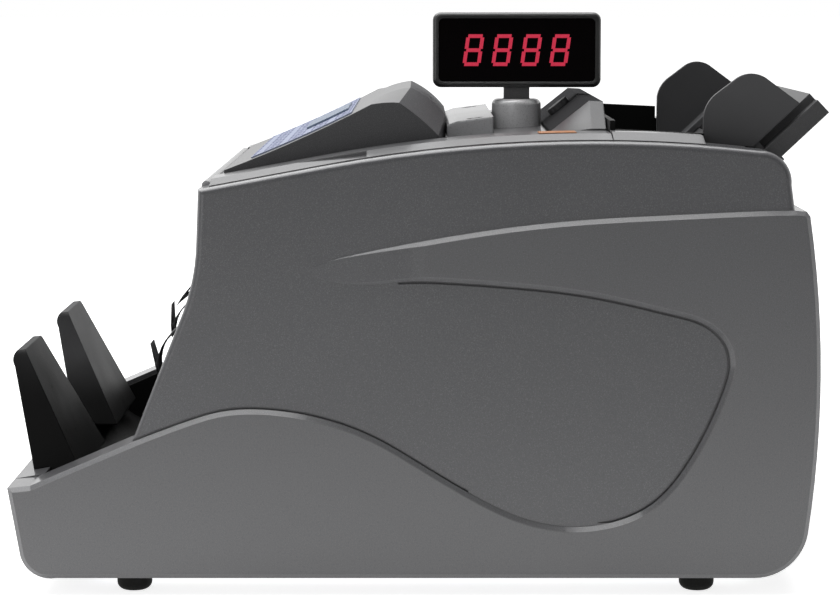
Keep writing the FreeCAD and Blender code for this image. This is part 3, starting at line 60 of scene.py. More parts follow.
# a material's node tree, with short calls for the nodes used here
class Tree:
    def __init__(self, name):
        self.material = bpy.data.materials.new(name)
        self.material.use_nodes = True
        self.nodes = self.material.node_tree.nodes
        self.links = self.material.node_tree.links
        self.shader = self.nodes["Principled BSDF"]
        self.count = 0

    def add(self, kind, **settings):
        node = self.nodes.new(kind)
        self.count += 1
        node.location = (-220 * (1 + self.count % 6), -180 * (self.count // 6))
        for key, value in settings.items():
            setattr(node, key, value)
        return node

    # a value may be a socket to link, a number or a colour
    def put(self, value, socket):
        if hasattr(value, "links"):
            self.links.new(value, socket)
        elif isinstance(value, tuple) and socket.type == "RGBA":
            socket.default_value = (*value[:3], 1.0)
        else:
            socket.default_value = value

    def coords(self, scale=(1.0, 1.0, 1.0)):
        source = self.add("ShaderNodeTexCoord")
        mapping = self.add("ShaderNodeMapping")
        mapping.inputs["Scale"].default_value = scale
        self.put(source.outputs["Object"], mapping.inputs["Vector"])
        return mapping.outputs["Vector"]

    # the way a face looks, in the piece's own axes
    def facing(self):
        return self.split(self.add("ShaderNodeTexCoord").outputs["Normal"])

    def split(self, vector):
        node = self.add("ShaderNodeSeparateXYZ")
        self.put(vector, node.inputs["Vector"])
        return node.outputs["X"], node.outputs["Y"], node.outputs["Z"]

    def noise(self, vector, scale, detail=2.0, roughness=0.5):
        node = self.add("ShaderNodeTexNoise")
        node.inputs["Scale"].default_value = scale
        node.inputs["Detail"].default_value = detail
        node.inputs["Roughness"].default_value = roughness
        self.put(vector, node.inputs["Vector"])
        return node.outputs["Fac"]

    def cells(self, vector, scale):
        node = self.add("ShaderNodeTexVoronoi")
        node.inputs["Scale"].default_value = scale
        self.put(vector, node.inputs["Vector"])
        return node.outputs["Color"]

    def band(self, value, low, high, first=0.0, last=1.0):
        node = self.add("ShaderNodeMapRange", interpolation_type="SMOOTHSTEP")
        parts = {"Value": value, "From Min": low, "From Max": high, "To Min": first, "To Max": last}
        for socket, part in parts.items():
            self.put(part, node.inputs[socket])
        return node.outputs["Result"]

    def mix(self, factor, first, second, blend="MIX"):
        node = self.add("ShaderNodeMix", data_type="RGBA", blend_type=blend)
        self.put(factor, node.inputs[0])
        self.put(first, node.inputs[6])
        self.put(second, node.inputs[7])
        return node.outputs[2]

    def maths(self, operation, first, second=0.0, third=0.0):
        node = self.add("ShaderNodeMath", operation=operation)
        for index, value in enumerate((first, second, third)):
            self.put(value, node.inputs[index])
        return node.outputs[0]

    # 0 in the middle of each repeat, 0.5 where two repeats meet
    def repeat(self, value, perMetre):
        part = self.maths("FRACT", self.maths("MULTIPLY", value, perMetre))
        return self.maths("ABSOLUTE", self.maths("SUBTRACT", part, 0.5))

    # rounds sharp edges in the shading, as a real moulded or sprayed edge is
    def softEdge(self, radius):
        node = self.add("ShaderNodeBevel", samples=4)
        node.inputs["Radius"].default_value = radius
        return node.outputs["Normal"]

    def bump(self, height, strength, distance, under=None):
        node = self.add("ShaderNodeBump")
        node.inputs["Strength"].default_value = strength
        node.inputs["Distance"].default_value = distance
        self.put(height, node.inputs["Height"])
        if under is not None:
            self.put(under, node.inputs["Normal"])
        return node.outputs["Normal"]

    def finish(self, colour, roughness, normal=None, **fixed):
        self.put(colour, self.shader.inputs["Base Color"])
        self.put(roughness, self.shader.inputs["Roughness"])
        if normal is not None:
            self.put(normal, self.shader.inputs["Normal"])
        for key, value in fixed.items():
            self.shader.inputs[key.replace("_", " ")].default_value = value
        return self.material


# sprayed metallic grey: fine pale flakes, dark pits and a slow cloud under a clear coat
spray = {"fleckBand": (0.54, 0.70), "pitBand": (0.30, 0.46), "pitSize": 0.45, "cloudBand": (0.3, 0.7),
         "roughSpread": 0.04, "peelDepth": 0.0002, "grainDepth": 0.0001, "bandBlend": 0.0003,
         "rearBand": (0.15, 0.40), "endBand": (0.85, 0.95)}


def speckledPaint(name, look):
    tree = Tree(name)
    at = tree.coords()
    cloud = tree.noise(at, look["cloudScale"], 3.0, 0.55)
    fine = tree.noise(at, look["fleckScale"], 1.0, 0.6)
    coarse = tree.noise(at, look["fleckScale"] * spray["pitSize"], 2.0, 0.6)
    base = tree.mix(cloud, look["dark"], look["light"])
    if look["bandGain"] > 0.0:   # painted light: the raised lower part of the side is painted paler, most at the bottom, where it catches more light
        x, y, z = tree.split(at)
        raised = tree.band(tree.maths("ABSOLUTE", x), look["bandFrom"], look["bandFrom"] + spray["bandBlend"])
        low = tree.band(z, look["bandLowZ"], look["bandHighZ"], look["bandGain"], look["bandGain"] * look["bandTop"])
        base = tree.mix(tree.maths("MULTIPLY", raised, low), base, look["band"])
    if look["paintedEndHighlight"] is not None:   # painted highlight: faces that point along X, the cut ends facing the side, are painted much paler
        faceX, faceY, faceZ = tree.facing()
        base = tree.mix(tree.band(tree.maths("ABSOLUTE", faceX), *spray["endBand"]), base, look["paintedEndHighlight"])
    flecked = tree.mix(tree.band(fine, *spray["fleckBand"], 0.0, look["fleckAmount"]), base, look["fleck"])
    pitted = tree.mix(tree.band(coarse, *spray["pitBand"], look["pitAmount"], 0.0), flecked, look["pit"])
    peel = tree.noise(at, look["peelScale"], 2.0, 0.6)
    spread = spray["roughSpread"]
    rough = tree.band(cloud, *spray["cloudBand"], look["rough"] - spread, look["rough"] + spread)
    if look["mattRear"]:   # no clear coat on the textured rear slope
        faceX, faceY, faceZ = tree.facing()
        tree.put(tree.band(faceY, *spray["rearBand"], look["coat"], 0.0), tree.shader.inputs["Coat Weight"])
    skin = tree.bump(peel, look["peelStrength"], spray["peelDepth"], tree.softEdge(look["edge"]))
    grain = tree.bump(fine, look["grainStrength"], spray["grainDepth"], skin)
    return tree.finish(pitted, rough, grain, Metallic=look["metal"], Coat_Weight=look["coat"],
                       Coat_Roughness=look["coatRough"], Specular_IOR_Level=look["specular"])


# moulded plastic: eroded texture, slow colour drift, scuffs and a little dust in the texture, and where asked painted
# shade low down
mould = {"cloudBand": (0.3, 0.7), "roughSpread": 0.05, "scuffScale": 90.0, "scuffStretch": (1.0, 6.0, 1.5),
         "scuffBand": (0.60, 0.74), "scuffRough": 0.08, "grainDepth": 0.0002, "frontBand": (-0.6, -0.2),
         "coatRough": 0.15}


def moulded(name, look):
    tree = Tree(name)
    at = tree.coords()
    cloud = tree.noise(at, look["cloudScale"], 3.0, 0.5)
    grain = tree.noise(at, look["grainScale"], 2.0, 0.65)
    worn = tree.noise(tree.coords(scale=mould["scuffStretch"]), mould["scuffScale"], 4.0, 0.7)
    scuff = tree.band(worn, *mould["scuffBand"])
    colour = tree.mix(cloud, look["dark"], look["light"])
    dusted = tree.mix(tree.maths("MULTIPLY", grain, look["dust"]), colour, look["dustColour"])
    scuffedAndShaded = tree.mix(tree.maths("MULTIPLY", scuff, look["scuff"]), dusted, look["dustColour"])
    spread = mould["roughSpread"]
    plain = tree.band(cloud, *mould["cloudBand"], look["rough"] - spread, look["rough"] + spread)
    rough = tree.maths("MULTIPLY_ADD", scuff, mould["scuffRough"], plain)
    if look["paintedShadeZ"] is not None:   # painted shade: darker towards the bottom on faces that don't face the front, as shade falls in the stacker pocket
        x, y, z = tree.split(at)
        faceX, faceY, faceZ = tree.facing()
        low = tree.band(z, *look["paintedShadeZ"], look["paintedShadeAmount"], 0.0)
        scuffedAndShaded = tree.mix(tree.maths("MULTIPLY", low, tree.band(faceY, *mould["frontBand"])), scuffedAndShaded, look["dark"])
    normal = tree.bump(grain, look["grainStrength"], mould["grainDepth"], tree.softEdge(look["edge"]))
    return tree.finish(scuffedAndShaded, rough, normal, Specular_IOR_Level=look["specular"], Coat_Weight=look["coat"],
                       Coat_Roughness=mould["coatRough"])


# sheet or turned metal: spangle or drawn lines
metal = {"cloudScale": 40.0, "lineBand": (0.3, 0.7), "roughBelow": 0.08, "roughAbove": 0.1, "lineStrength": 0.15,
         "lineDepth": 0.0001}


def workedMetal(name, look):
    tree = Tree(name)
    at = tree.coords()
    lines = tree.noise(tree.coords(scale=look["stretch"]), look["lineScale"], 3.0, 0.6)
    spangle = tree.cells(at, look["spangleScale"])
    cloud = tree.noise(at, metal["cloudScale"], 2.0, 0.5)
    colour = tree.mix(cloud, look["dark"], look["light"])
    patched = tree.mix(look["spangle"], colour, spangle, "SOFT_LIGHT")
    smoothest, roughest = look["rough"] - metal["roughBelow"], look["rough"] + metal["roughAbove"]
    rough = tree.band(lines, *metal["lineBand"], smoothest, roughest)
    normal = tree.bump(lines, metal["lineStrength"], metal["lineDepth"])
    return tree.finish(patched, rough, normal, Metallic=1.0)


# band, bandFrom, bandGain, bandLowZ, bandHighZ and bandTop set a painted lighter band low on the side
shellLook = {"dark": (0.080, 0.080, 0.085), "light": (0.095, 0.095, 0.101), "fleck": (0.30, 0.30, 0.31),
             "fleckScale": 3200.0, "fleckAmount": 0.24, "pit": (0.035, 0.035, 0.037), "pitAmount": 0.22,
             "cloudScale": 9.0, "peelScale": 700.0, "peelStrength": 0.04, "grainStrength": 0.05,
             "rough": 0.42, "metal": 0.15, "coat": 0.8, "coatRough": 0.14, "specular": 0.5, "edge": 0.0006,
             "mattRear": False, "paintedEndHighlight": None, "band": (0.140, 0.140, 0.144), "bandFrom": 0.1246,
             "bandGain": 0.62, "bandLowZ": 0.05, "bandHighZ": 0.13, "bandTop": 0.5}
topLook = dict(shellLook, dark=(0.110, 0.110, 0.114), light=(0.130, 0.130, 0.134), coat=0.62, coatRough=0.16,
               rough=0.36, bandGain=0.0, edge=0.0008)
# the deck's ends facing the side get a painted highlight
deckLook = dict(topLook, edge=0.0016, paintedEndHighlight=(0.42, 0.42, 0.43))
hoodLook = dict(topLook, dark=(0.066, 0.066, 0.069), light=(0.080, 0.080, 0.084), coat=0.85, coatRough=0.3,
                rough=0.65, specular=0.15, mattRear=True)
satinLook = dict(shellLook, dark=(0.062, 0.062, 0.064), light=(0.078, 0.078, 0.080), fleckAmount=0.08, pitAmount=0.2,
                 coat=0.1, coatRough=0.3, specular=0.3, bandGain=0.0)
turntableLook = dict(topLook, dark=(0.66, 0.66, 0.67), light=(0.76, 0.76, 0.77), coatRough=0.22)
guideLook = {"dark": (0.034, 0.034, 0.036), "light": (0.048, 0.048, 0.050), "cloudScale": 25.0, "grainScale": 2200.0,
             "grainStrength": 0.2, "dust": 0.25, "dustColour": (0.09, 0.09, 0.09), "scuff": 0.12, "rough": 0.5,
             "specular": 0.4, "coat": 0.0, "edge": 0.0008, "paintedShadeZ": None, "paintedShadeAmount": 0.0}
blackLook = {"dark": (0.003, 0.003, 0.003), "light": (0.005, 0.005, 0.005), "cloudScale": 25.0, "grainScale": 2500.0,
             "grainStrength": 0.15, "dust": 0.05, "dustColour": (0.03, 0.03, 0.03), "scuff": 0.04, "rough": 0.5,
             "specular": 0.15, "coat": 0.0, "edge": 0.0006, "paintedShadeZ": None, "paintedShadeAmount": 0.0}
rubberLook = dict(blackLook, light=(0.010, 0.010, 0.010), grainScale=1500.0, grainStrength=0.35, dust=0.25,
                  dustColour=(0.05, 0.05, 0.045), rough=0.75, specular=0.2)
zincLook = {"dark": (0.42, 0.43, 0.45), "light": (0.56, 0.56, 0.57), "stretch": (1.0, 1.0, 1.0), "lineScale": 60.0,
            "spangle": 0.25, "spangleScale": 140.0, "rough": 0.4}
steelLook = dict(zincLook, dark=(0.50, 0.50, 0.50), light=(0.62, 0.62, 0.62), stretch=(40.0, 1.0, 1.0), spangle=0.0,
                 rough=0.25)
bronzeLook = dict(zincLook, dark=(0.42, 0.28, 0.12), light=(0.55, 0.38, 0.18), lineScale=400.0, spangle=0.1,
                  spangleScale=900.0)
# fins: painted shade takes them to near black towards the bottom
finLook = dict(guideLook, dark=(0.004, 0.004, 0.004), light=(0.090, 0.090, 0.094), paintedShadeZ=(0.048, 0.072),
               paintedShadeAmount=1.0, specular=0.12)
rampLook = dict(guideLook, dark=(0.022, 0.022, 0.023), light=(0.032, 0.032, 0.034), dust=0.1, rough=0.8,
                specular=0.02)
wheelLook = dict(guideLook, dark=(0.030, 0.030, 0.032), light=(0.045, 0.045, 0.047), rough=0.6)
caseLook = dict(blackLook, rough=0.35, specular=0.5, dust=0.03, coat=1.0, edge=0.0032)
orangeLook = dict(guideLook, dark=(0.40, 0.16, 0.06), light=(0.50, 0.22, 0.09), rough=0.45, dust=0.1,
                  dustColour=(0.5, 0.35, 0.25))

shellPaint = speckledPaint("shellPaint", shellLook)
topPaint = speckledPaint("topPaint", topLook)
deckPaint = speckledPaint("deckPaint", deckLook)
satinPaint = speckledPaint("satinPaint", satinLook)
hoodPaint = speckledPaint("hoodPaint", hoodLook)
turntablePaint = speckledPaint("turntablePaint", turntableLook)
guidePlastic = moulded("guidePlastic", dict(guideLook, dark=(0.064, 0.064, 0.067), light=(0.084, 0.084, 0.088)))
finPlastic = moulded("finPlastic", finLook)
# the right fin's painted shade reaches higher up
finPlasticRightShaded = moulded("finPlasticRightShaded", dict(finLook, paintedShadeZ=(0.066, 0.118)))
rampPlastic = moulded("rampPlastic", rampLook)
wheelRubber = moulded("wheelRubber", wheelLook)
blackPlastic = moulded("blackPlastic", blackLook)
casePlastic = moulded("casePlastic", caseLook)
footRubber = moulded("footRubber", rubberLook)
zincSheet = workedMetal("zincSheet", zincLook)
groundSteel = workedMetal("groundSteel", steelLook)
sinteredBronze = workedMetal("sinteredBronze", bronzeLook)
motorPaint = moulded("motorPaint", dict(guideLook, dark=(0.05, 0.05, 0.055), light=(0.08, 0.08, 0.085), rough=0.35))
orangeFilm = moulded("orangeFilm", orangeLook)


# deep red-black window: nothing shows through but the lit figures
smoked = {"dark": (0.0012, 0.0008, 0.001), "light": (0.003, 0.0015, 0.002), "hazeScale": 300.0, "wipeScale": 60.0,
          "wipeStretch": (1.0, 1.0, 8.0), "rough": (0.06, 0.16), "ior": 1.35, "specular": 0.1}


def smokedWindow(name):
    tree = Tree(name)
    haze = tree.noise(tree.coords(), smoked["hazeScale"], 3.0, 0.6)
    wipe = tree.noise(tree.coords(scale=smoked["wipeStretch"]), smoked["wipeScale"], 3.0, 0.6)
    colour = tree.mix(haze, smoked["dark"], smoked["light"])
    rough = tree.band(wipe, 0.3, 0.8, *smoked["rough"])
    return tree.finish(colour, rough, IOR=smoked["ior"], Specular_IOR_Level=smoked["specular"])


# grey-blue liquid crystal panel under a hard coat, with rows of faint cells
crystal = {"dark": (0.16, 0.20, 0.27), "light": (0.22, 0.27, 0.35), "cellLine": (0.08, 0.10, 0.16),
           "cellsPerMetre": 330.0, "lineBand": (0.40, 0.46), "lineAmount": 0.35, "hazeScale": 300.0,
           "rough": (0.35, 0.45), "specular": 0.2}


def lcdWindow(name):
    tree = Tree(name)
    at = tree.coords()
    x, y, z = tree.split(at)
    haze = tree.noise(at, crystal["hazeScale"], 3.0, 0.6)
    glass = tree.mix(haze, crystal["dark"], crystal["light"])
    line = tree.band(tree.repeat(x, crystal["cellsPerMetre"]), *crystal["lineBand"], 0.0, crystal["lineAmount"])
    rows = tree.mix(line, glass, crystal["cellLine"])
    return tree.finish(rows, tree.band(haze, 0.3, 0.8, *crystal["rough"]), Specular_IOR_Level=crystal["specular"])


# red segments, lit a little unevenly
segment = {"glowDark": (0.44, 0.014, 0.040), "glowLight": (0.58, 0.030, 0.075), "glowScale": 900.0, "power": 0.9,
           "body": (0.2, 0.008, 0.016), "rough": 0.4}


def litSegments(name):
    tree = Tree(name)
    glow = tree.noise(tree.coords(), segment["glowScale"], 2.0, 0.5)
    tree.put(tree.mix(glow, segment["glowDark"], segment["glowLight"]), tree.shader.inputs["Emission Color"])
    return tree.finish(segment["body"], segment["rough"], Emission_Strength=segment["power"])


# pale blue film over the keys: printed key outlines, a small mark on each, and domes pushed up under it
keypad = {"across": 8, "alongFront": -0.0605, "alongStep": 0.0092, "halfWidth": 0.072, "keyWidth": 0.0132,
          "keyDepth": 0.0062, "line": 0.0007, "lineBlend": 0.0003, "keyBlend": 0.0002, "markHalfWidth": 0.0032,
          "markHalfDepth": 0.0007, "fineScale": 420.0, "fineStretch": (1.0, 2.4, 1.0), "fineBand": (0.48, 0.54),
          "fineAmount": 0.75, "hazeScale": 400.0, "domeEdge": 0.0022, "domeStrength": 0.5, "domeDepth": 0.0004,
          "ink": (0.02, 0.03, 0.13), "pale": (0.24, 0.27, 0.38), "bright": (0.36, 0.40, 0.52), "rough": 0.5,
          "specular": 0.3}


def keypadFilm(name):
    tree = Tree(name)
    at = tree.coords()
    x, y, z = tree.split(at)
    film = tree.mix(tree.noise(at, keypad["hazeScale"], 2.0, 0.5), keypad["pale"], keypad["bright"])

    # distance from the middle of a key in one direction
    def fromKey(value, start, step):
        turned = tree.maths("MULTIPLY_ADD", value, 1.0 / step, -start / step)
        centred = tree.maths("SUBTRACT", tree.maths("FRACT", turned), 0.5)
        return tree.maths("MULTIPLY", tree.maths("ABSOLUTE", centred), step)

    fromX = fromKey(x, -keypad["halfWidth"], 2.0 * keypad["halfWidth"] / keypad["across"])
    fromY = fromKey(y, keypad["alongFront"], keypad["alongStep"])
    outX = tree.maths("SUBTRACT", fromX, keypad["keyWidth"] / 2)
    outY = tree.maths("SUBTRACT", fromY, keypad["keyDepth"] / 2)
    edge = tree.maths("MAXIMUM", outX, outY)
    key = tree.band(edge, -keypad["lineBlend"], keypad["keyBlend"], 1.0, 0.0)
    inner = tree.band(edge, -keypad["line"] - keypad["lineBlend"], -keypad["line"], 0.0, 1.0)
    outline = tree.maths("MULTIPLY", key, inner)
    markX = tree.maths("LESS_THAN", fromX, keypad["markHalfWidth"])
    mark = tree.maths("MULTIPLY", markX, tree.maths("LESS_THAN", fromY, keypad["markHalfDepth"]))
    fine = tree.noise(tree.coords(scale=keypad["fineStretch"]), keypad["fineScale"], 1.0, 0.6)
    onKey = tree.maths("MULTIPLY", key, keypad["fineAmount"])
    small = tree.maths("MULTIPLY", tree.band(fine, *keypad["fineBand"]), onKey)
    inked = tree.maths("MAXIMUM", tree.maths("MAXIMUM", outline, mark), small)
    printed = tree.mix(inked, film, keypad["ink"])
    dome = tree.band(edge, -keypad["domeEdge"], 0.0, 1.0, 0.0)
    normal = tree.bump(dome, keypad["domeStrength"], keypad["domeDepth"])
    return tree.finish(printed, keypad["rough"], normal, Specular_IOR_Level=keypad["specular"])


# green board: copper runs under the mask and pale pads in a grid
board = {"mask": (0.008, 0.070, 0.022), "run": (0.020, 0.130, 0.045), "pad": (0.55, 0.53, 0.48), "runScale": 160.0,
         "runStretch": (1.0, 7.0, 1.0), "runBand": (0.50, 0.53), "padsPerMetre": 394.0, "padHalf": 0.16,
         "padScale": 60.0, "padBand": (0.52, 0.56), "rough": (0.35, 0.25), "strength": 0.2, "depth": 0.0001}


def circuitBoard(name):
    tree = Tree(name)
    at = tree.coords()
    x, y, z = tree.split(at)
    drawn = tree.noise(tree.coords(scale=board["runStretch"]), board["runScale"], 0.0, 0.5)
    runs = tree.band(drawn, *board["runBand"])
    masked = tree.mix(runs, board["mask"], board["run"])
    fromPad = tree.maths("MAXIMUM", tree.repeat(x, board["padsPerMetre"]), tree.repeat(y, board["padsPerMetre"]))
    pad = tree.maths("LESS_THAN", fromPad, board["padHalf"])
    some = tree.maths("MULTIPLY", pad, tree.band(tree.noise(at, board["padScale"], 0.0, 0.5), *board["padBand"]))
    colour = tree.mix(some, masked, board["pad"])
    normal = tree.bump(runs, board["strength"], board["depth"])
    return tree.finish(colour, tree.band(runs, 0.0, 1.0, *board["rough"]), normal)


# stacked steel sheets, with a dark line between each two
stack = {"sheetsPerMetre": 2000.0, "gap": 0.3, "line": (0.03, 0.03, 0.03), "dark": (0.10, 0.10, 0.11),
         "light": (0.20, 0.20, 0.21), "cloudScale": 200.0, "rough": 0.45, "metal": 0.6, "strength": 0.3,
         "depth": 0.0001}


def transformerFinish(name):
    tree = Tree(name)
    at = tree.coords()
    x, y, z = tree.split(at)
    sheets = tree.maths("FRACT", tree.maths("MULTIPLY", x, stack["sheetsPerMetre"]))
    flat = tree.band(sheets, 0.0, stack["gap"], 0.0, 1.0)
    steel = tree.mix(tree.noise(at, stack["cloudScale"], 3.0, 0.6), stack["dark"], stack["light"])
    lined = tree.mix(tree.maths("SUBTRACT", 1.0, flat), steel, stack["line"])
    normal = tree.bump(flat, stack["strength"], stack["depth"])
    return tree.finish(lined, stack["rough"], normal, Metallic=stack["metal"])


# flat belt: moulded rubber with fine cords along its run
belt = {"cordsPerMetre": 1400.0, "dark": (0.008, 0.008, 0.008), "light": (0.022, 0.021, 0.020), "wornScale": 300.0,
        "rough": (0.6, 0.8), "strength": 0.4, "depth": 0.0001}


def beltRubber(name):
    tree = Tree(name)
    at = tree.coords()
    x, y, z = tree.split(at)
    cords = tree.repeat(x, belt["cordsPerMetre"])
    worn = tree.noise(at, belt["wornScale"], 3.0, 0.6)
    colour = tree.mix(worn, belt["dark"], belt["light"])
    normal = tree.bump(cords, belt["strength"], belt["depth"])
    return tree.finish(colour, tree.band(worn, 0.3, 0.7, *belt["rough"]), normal)


smokedAcrylic = smokedWindow("smokedAcrylic")
redSegments = litSegments("redSegments")

finishOf = {
    shellPaint: ["side_panel_right", "side_panel_left", "nose_apron", "front_panel", "rear_cover"],
    deckPaint: ["top_cover"],
    topPaint: ["shoulder_trim_right", "shoulder_trim_left", "hopper_rail_right", "hopper_rail_left", "display_neck"],
    hoodPaint: ["console_housing"],
    turntablePaint: ["display_turntable"],
    satinPaint: ["hopper_cheek_right", "hopper_cheek_left", "hopper_back_plate"],
    guidePlastic: ["note_guide_right", "note_guide_left", "gap_knob"],
    finPlastic: ["stop_fin_left"],
    finPlasticRightShaded: ["stop_fin_right"],
    wheelRubber: ["stacker_wheel_right", "stacker_wheel_left"],
    rampPlastic: ["feed_cover"],
    blackPlastic: ["stacker_lining", "hopper_liner", "switch_frame", "power_inlet", "rocker_switch", "fuse_holder",
                   "display_socket"],
    casePlastic: ["display_case"],
    footRubber: ["rubber_feet", "feed_rollers", "pickup_rollers", "transport_rollers"],
    beltRubber("beltRubber"): ["drive_belts"],
    zincSheet: ["base_pan", "inner_frame_right", "inner_frame_left", "upper_guide_plate", "lower_guide_plate",
                "retard_bracket"],
    groundSteel: ["tie_rods", "impeller_shaft", "transport_shaft", "feed_shaft", "pickup_shaft", "motor_shaft"],
    sinteredBronze: ["bearings"],
    motorPaint: ["main_motor"],
    transformerFinish("transformerFinish"): ["transformer"],
    circuitBoard("circuitBoard"): ["main_board"],
    orangeFilm: ["marker_strip"],
    smokedAcrylic: ["display_window"],
    lcdWindow("lcdWindow"): ["console_window"],
    redSegments: ["display_digits"],
    keypadFilm("keypadFilm"): ["keypad_membrane"],
}

for material, names in finishOf.items():
    for name in names:
        nodes[name].data.materials.clear()
        nodes[name].data.materials.append(material)
print("finishes set; without one:", sorted(set(nodes) - {name for names in finishOf.values() for name in names}))


# edges turned by less than this are shaded smooth on every new piece
smoothDeg = 35.0


def startPiece():
    if bpy.context.object is not None and bpy.context.object.mode != "OBJECT":
        bpy.ops.object.mode_set(mode="OBJECT")
    bpy.ops.object.select_all(action="DESELECT")


def smoothPiece():
    bpy.ops.object.shade_smooth_by_angle(angle=math.radians(smoothDeg))


def bakePlace():
    bpy.ops.object.transform_apply(location=True, rotation=True, scale=True)


# leaves the piece in edit mode with only the wanted faces selected
def pickFaces(piece, wanted):
    bpy.ops.object.mode_set(mode="OBJECT")
    for part in (piece.data.vertices, piece.data.edges, piece.data.polygons):
        for item in part:
            item.select = False
    for face in piece.data.polygons:
        face.select = wanted(face)
    bpy.ops.object.mode_set(mode="EDIT")
    bpy.ops.mesh.select_mode(type="FACE")


def applyBevel(piece, width):
    bevel = piece.modifiers.new("bevel", "BEVEL")
    bevel.width = width
    bevel.segments = 2
    bevel.limit_method = "ANGLE"
    bpy.ops.object.modifier_apply(modifier=bevel.name)
    smoothPiece()


def cutWith(piece, tool):
    taken = piece.modifiers.new("cut", "BOOLEAN")
    taken.operation = "DIFFERENCE"
    taken.solver = "EXACT"
    taken.object = tool
    bpy.ops.object.select_all(action="DESELECT")
    piece.select_set(True)
    bpy.context.view_layer.objects.active = piece
    bpy.ops.object.modifier_apply(modifier=taken.name)
    bpy.data.objects.remove(tool, do_unlink=True)


# a copy with its own mesh, moved in the mesh itself
def copyMesh(pattern, name, move):
    piece = pattern.copy()
    piece.data = pattern.data.copy()
    piece.name = name
    piece.data.transform(move)
    bpy.context.scene.collection.objects.link(piece)
    return piece


def dress(piece, material, body):
    piece.data.materials.clear()
    piece.data.materials.append(material)
    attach(piece, body)


def placeCopy(pattern, name, place, towards, body, material, turnDeg=0.0):
    lean = Vector((0, 0, 1)).rotation_difference(Vector(towards)).to_matrix().to_4x4()
    turn = Matrix.Rotation(math.radians(turnDeg), 4, "Z")
    dress(copyMesh(pattern, name, Matrix.Translation(Vector(place)) @ lean @ turn), material, body)


# where a ray meets a CAD piece, and the way its surface looks there
def surfaceAt(nodeName, start, direction):
    hit, place, normal, faceIndex = nodes[nodeName].ray_cast(Vector(start), Vector(direction))
    if not hit:
        print("no surface on", nodeName, "from", start)
        return Vector(start), Vector(direction) * -1.0
    return place, normal


def discard(*patterns):
    for pattern in patterns:
        bpy.data.objects.remove(pattern, do_unlink=True)


# cross-recess pan-head screw, head up, origin at the face it sits on
screw = {"headRadius": 0.0031, "headHeight": 0.0019, "sunk": 0.0002, "sides": 32, "round": 0.0007, "roundSteps": 3,
         "recess": 0.0036, "recessWidth": 0.0009, "recessDepth": 0.0012, "recessTaper": 0.55,
         "rear": [(-0.096, 0.124), (0.096, 0.124), (-0.096, 0.016), (0.096, 0.016)], "rearFrom": 0.2,
         "rearTurnDeg": 12.0, "rearStepDeg": 31.0,
         "pan": [(-0.092, -0.105), (0.092, -0.105), (-0.092, 0.0), (0.092, 0.0), (-0.092, 0.112), (0.092, 0.112)],
         "panFrom": -0.05, "panTurnDeg": 20.0, "panStepDeg": 47.0}


def makeScrew():
    startPiece()
    middle = screw["headHeight"] / 2 - screw["sunk"]
    bpy.ops.mesh.primitive_cylinder_add(vertices=screw["sides"], radius=screw["headRadius"],
                                        depth=screw["headHeight"], location=(0, 0, middle))
    head = bpy.context.object
    pickFaces(head, lambda face: face.normal.z > 0.9)
    bpy.ops.mesh.bevel(offset=screw["round"], segments=screw["roundSteps"], affect="EDGES")
    bpy.ops.object.mode_set(mode="OBJECT")
    for turn in (0.0, math.pi / 2):
        bpy.ops.object.select_all(action="DESELECT")
        bpy.ops.mesh.primitive_cube_add(size=1.0, location=(0, 0, screw["headHeight"]))
        arm = bpy.context.object
        arm.scale = (screw["recess"], screw["recessWidth"], screw["recessDepth"] * 2)
        arm.rotation_euler = (0, 0, turn)
        bakePlace()
        pickFaces(arm, lambda face: face.normal.z < -0.9)
        bpy.ops.transform.resize(value=(screw["recessTaper"], screw["recessTaper"], 1.0))
        bpy.ops.object.mode_set(mode="OBJECT")
        cutWith(head, arm)
    head.select_set(True)
    smoothPiece()
    return head


screwPattern = makeScrew()
blackZincLook = dict(steelLook, dark=(0.03, 0.03, 0.032), light=(0.06, 0.06, 0.062), stretch=(1.0, 1.0, 1.0),
                     rough=0.35)
blackZinc = workedMetal("blackZinc", blackZincLook)
for index, (x, z) in enumerate(screw["rear"]):
    place, normal = surfaceAt("rear_cover", (x, screw["rearFrom"], z), (0, -1, 0))
    placeCopy(screwPattern, "rearScrew_%d" % index, place, normal, "chassis", blackZinc,
              screw["rearTurnDeg"] + screw["rearStepDeg"] * index)
for index, (x, y) in enumerate(screw["pan"]):
    place, normal = surfaceAt("base_pan", (x, y, screw["panFrom"]), (0, 0, 1))
    placeCopy(screwPattern, "panScrew_%d" % index, place, normal, "chassis", groundSteel,
              screw["panTurnDeg"] + screw["panStepDeg"] * index)
discard(screwPattern)
print("screws placed")

# stacker wheels: recessed hub with thin rubber blades, straight at the tip and curling into the hub
wheel = {"centre": (0.030, -0.070, 0.0765), "tipRadius": 0.038, "hubRadius": 0.012, "halfWidth": 0.007,
         "boreRadius": 0.00405, "hubSides": 48, "hubRound": 0.0004, "webInset": 0.0022, "webDepth": 0.0012,
         "blades": 7, "tipLean": 66.0, "straight": 0.014, "straightSteps": 3, "curlRadius": 0.0178, "curlDeg": 137.0,
         "curlSteps": 14, "joinWithin": 0.0005, "thick": 0.0018, "thinTip": 0.04, "thickFrom": 0.022,
         "rightTip": 169.8, "leftTip": 156.1}


